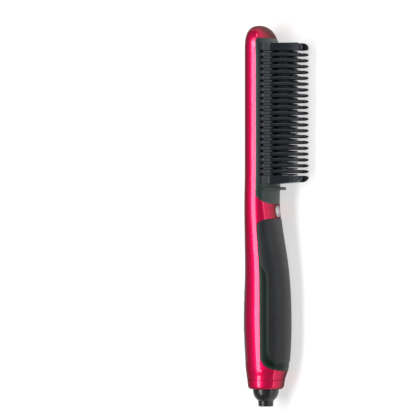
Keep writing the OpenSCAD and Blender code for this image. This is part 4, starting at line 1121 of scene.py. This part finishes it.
# Boards in the handle: a control board with its switches and number display behind the panel, and
# a power board in the belly of the grip, both of glass cloth, joined by a ribbon and fed from the
# gland by two wires.
def board_green(name, dark, light):
    """Solder mask over glass cloth, with copper tracks that show through."""
    finish, shader, where = begun(name)
    tracks = beside(where, "TexBrick", Vector=where, Scale=320, Mortar_Size=0.03, Color1=dark,
                    Color2=lighter(dark, 1.2, 0), Mortar=light)
    cloud = ramp(noise(where, 70, 4), [(0.3, dark), (0.7, light)])
    put(shader, Base_Color=blended(noise(where, 120, 2), tracks.outputs["Color"], cloud),
        Roughness=spread(noise(where, 500, 3), 0.25, 0.45))
    bumped(shader, tracks.outputs["Fac"], 0.2, 0.04)
    return finish


def component_mix(name, stops):
    """Parts of different colours along the board, as they stand in line."""
    finish, shader, where = begun(name)
    along = beside(where, "SeparateXYZ", Vector=where).outputs["X"]
    base = ramp(spread(along, 0.0, 1.0, -0.1, 0.0), stops)
    base.node.color_ramp.interpolation = "CONSTANT"
    fine = ramp(noise(where, 400, 4), [(0.3, (0.02, 0.02, 0.02)), (0.7, (0.3, 0.3, 0.3))])
    put(shader, Base_Color=blended(0.18, base, fine), Roughness=spread(noise(where, 300, 3), 0.3, 0.5))
    bumped(shader, noise(where, 1600, 3), 0.15, 0.04)
    return finish


dressed("control_board", board_green("control_mask", (0.008, 0.075, 0.030), (0.025, 0.16, 0.07)))
dressed("power_board", board_green("power_mask", (0.012, 0.095, 0.035), (0.04, 0.19, 0.08)))
dressed("display_module", speckled(
    "display_resin", (0.018, 0.018, 0.022), (0.032, 0.032, 0.038), 200, 0, (0.15, 0.3), 2600, None, 0.08))
dressed("tact_switches", speckled(
    "switch_body", (0.022, 0.022, 0.025), (0.045, 0.045, 0.05), 400, 0.1, (0.35, 0.5)))
dressed("power_components", component_mix("mounted_parts", [
    (0.0, (0.03, 0.06, 0.25)), (0.22, (0.03, 0.06, 0.25)), (0.33, (0.02, 0.02, 0.022)), (0.52, (0.55, 0.36, 0.05)),
    (0.66, (0.42, 0.05, 0.02))]))
dressed("ribbon_cable", speckled(
    "ribbon_grey", (0.30, 0.30, 0.32), (0.45, 0.45, 0.48), 700, 0, (0.4, 0.55), 900, (0.1, 0.1, 2), 0.5), 0.05)
dressed("supply_wires", braided("wire_jacket", (0.20, 0.03, 0.025), (0.30, 0.055, 0.045), 260), 0)


# Inside the tail, and the screws: a nylon bush that holds the gland, a phenolic block with spring
# contacts and the brass rings that turn against it. Zinc-plated steel screws hold the shells and
# the tray from under the panel.
dressed("swivel_retainer", speckled(
    "retainer_nylon", (0.075, 0.078, 0.083), (0.115, 0.12, 0.126), 160, rough=(0.4, 0.55)))
dressed("contact_block", speckled(
    "phenolic_brown", (0.085, 0.045, 0.022), (0.15, 0.085, 0.045), 220, 0, (0.35, 0.55), 900, (1, 3, 1)))
dressed("contact_rings", speckled(
    "ring_brass", (0.55, 0.37, 0.12), (0.70, 0.50, 0.20), 300, 1.0, (0.2, 0.35), 1800, strength=0.06), 0.06)
SCREW_ZINC = speckled("screw_zinc", (0.42, 0.43, 0.45), (0.60, 0.61, 0.63), 420, 0.95,
                      (0.25, 0.4), 2000, strength=0.1)
dressed("housing_screws", SCREW_ZINC, 0.1)
dressed("heater_screws", SCREW_ZINC, 0.1)


# Stage: a pale floor under plain soft studio light, seen from above through a long lens, with the
# straightener upright in the picture and its teeth to the right.
VIEW_TURN = math.radians(20)
VIEW_DISTANCE, PICTURE_HEIGHT, SENSOR = 3.0, 0.30035, 36
AIM_PLACE, AIM_ASIDE = 130.5, 27.1
FLOOR_SIZE, FLOOR_GREY, FLOOR_LIFT, SKY = 6, 0.5, 0.62, 0.22
WHITE = (1, 1, 1)

bm = bmesh.new()
bmesh.ops.create_grid(bm, x_segments=2, y_segments=2, size=FLOOR_SIZE)
floor = mesh_piece("floor", bm)
paint, shader, where = begun("pale_floor")
seen = beside(where, "LightPath").outputs
lift = larger(larger(seen["Is Camera Ray"], seen["Is Glossy Ray"]), seen["Is Transmission Ray"])
put(shader, Base_Color=(FLOOR_GREY, FLOOR_GREY, FLOOR_GREY), Roughness=0.9, Emission_Color=WHITE,
    Emission_Strength=spread(lift, 0.0, FLOOR_LIFT))
floor.data.materials.append(paint)
world = bpy.data.worlds.new("studio")
world.use_nodes = True
bpy.context.scene.world = world
put(world.node_tree.nodes["Background"], Color=WHITE, Strength=SKY)


def placed(name, data, place, *axes):
    """Puts a lamp or a camera at a place, turned to three axes of its own."""
    thing = bpy.data.objects.new(name, data)
    bpy.context.scene.collection.objects.link(thing)
    thing.matrix_world = Matrix.Translation(place) @ Matrix(axes).transposed().to_4x4()
    return thing


def lamp(name, offset, size, power):
    """A soft box at a local offset in metres, with its long side along the straightener."""
    light = bpy.data.lights.new(name, "AREA")
    light.shape = "RECTANGLE"
    light.size, light.size_y = size
    light.energy = power
    place = Vector(turned(offset))
    back = (place - Vector(turned((0.0, -0.02, 0.02)))).normalized()
    along = Vector(turned((1.0, 0.0, 0.0)))
    along = (along - back * along.dot(back)).normalized()
    placed(name, light, place, along, back.cross(along), back)


lamp("key_box", (-0.1, 0.76, 1.42), (1.9, 0.44), 26)
lamp("side_strip", (-0.2, -1.42, 0.55), (2.2, 0.22), 8)
lamp("top_box", (1.4, -0.1, 0.85), (0.4, 0.6), 4)

sight = turned((0.0, -math.sin(VIEW_TURN), math.cos(VIEW_TURN)))
right = turned((0.0, -math.cos(VIEW_TURN), -math.sin(VIEW_TURN)))
up = turned((1.0, 0.0, 0.0))
aim = laid((AIM_PLACE, AIM_ASIDE * math.cos(VIEW_TURN), AIM_ASIDE * math.sin(VIEW_TURN)))
lens = bpy.data.cameras.new("camera")
lens.sensor_width = SENSOR
lens.lens = SENSOR * VIEW_DISTANCE / PICTURE_HEIGHT
lens.clip_end = 50
bpy.context.scene.camera = placed("camera", lens, aim + sight * VIEW_DISTANCE, right, up, sight)

bpy.context.scene.view_settings.view_transform = "Standard"
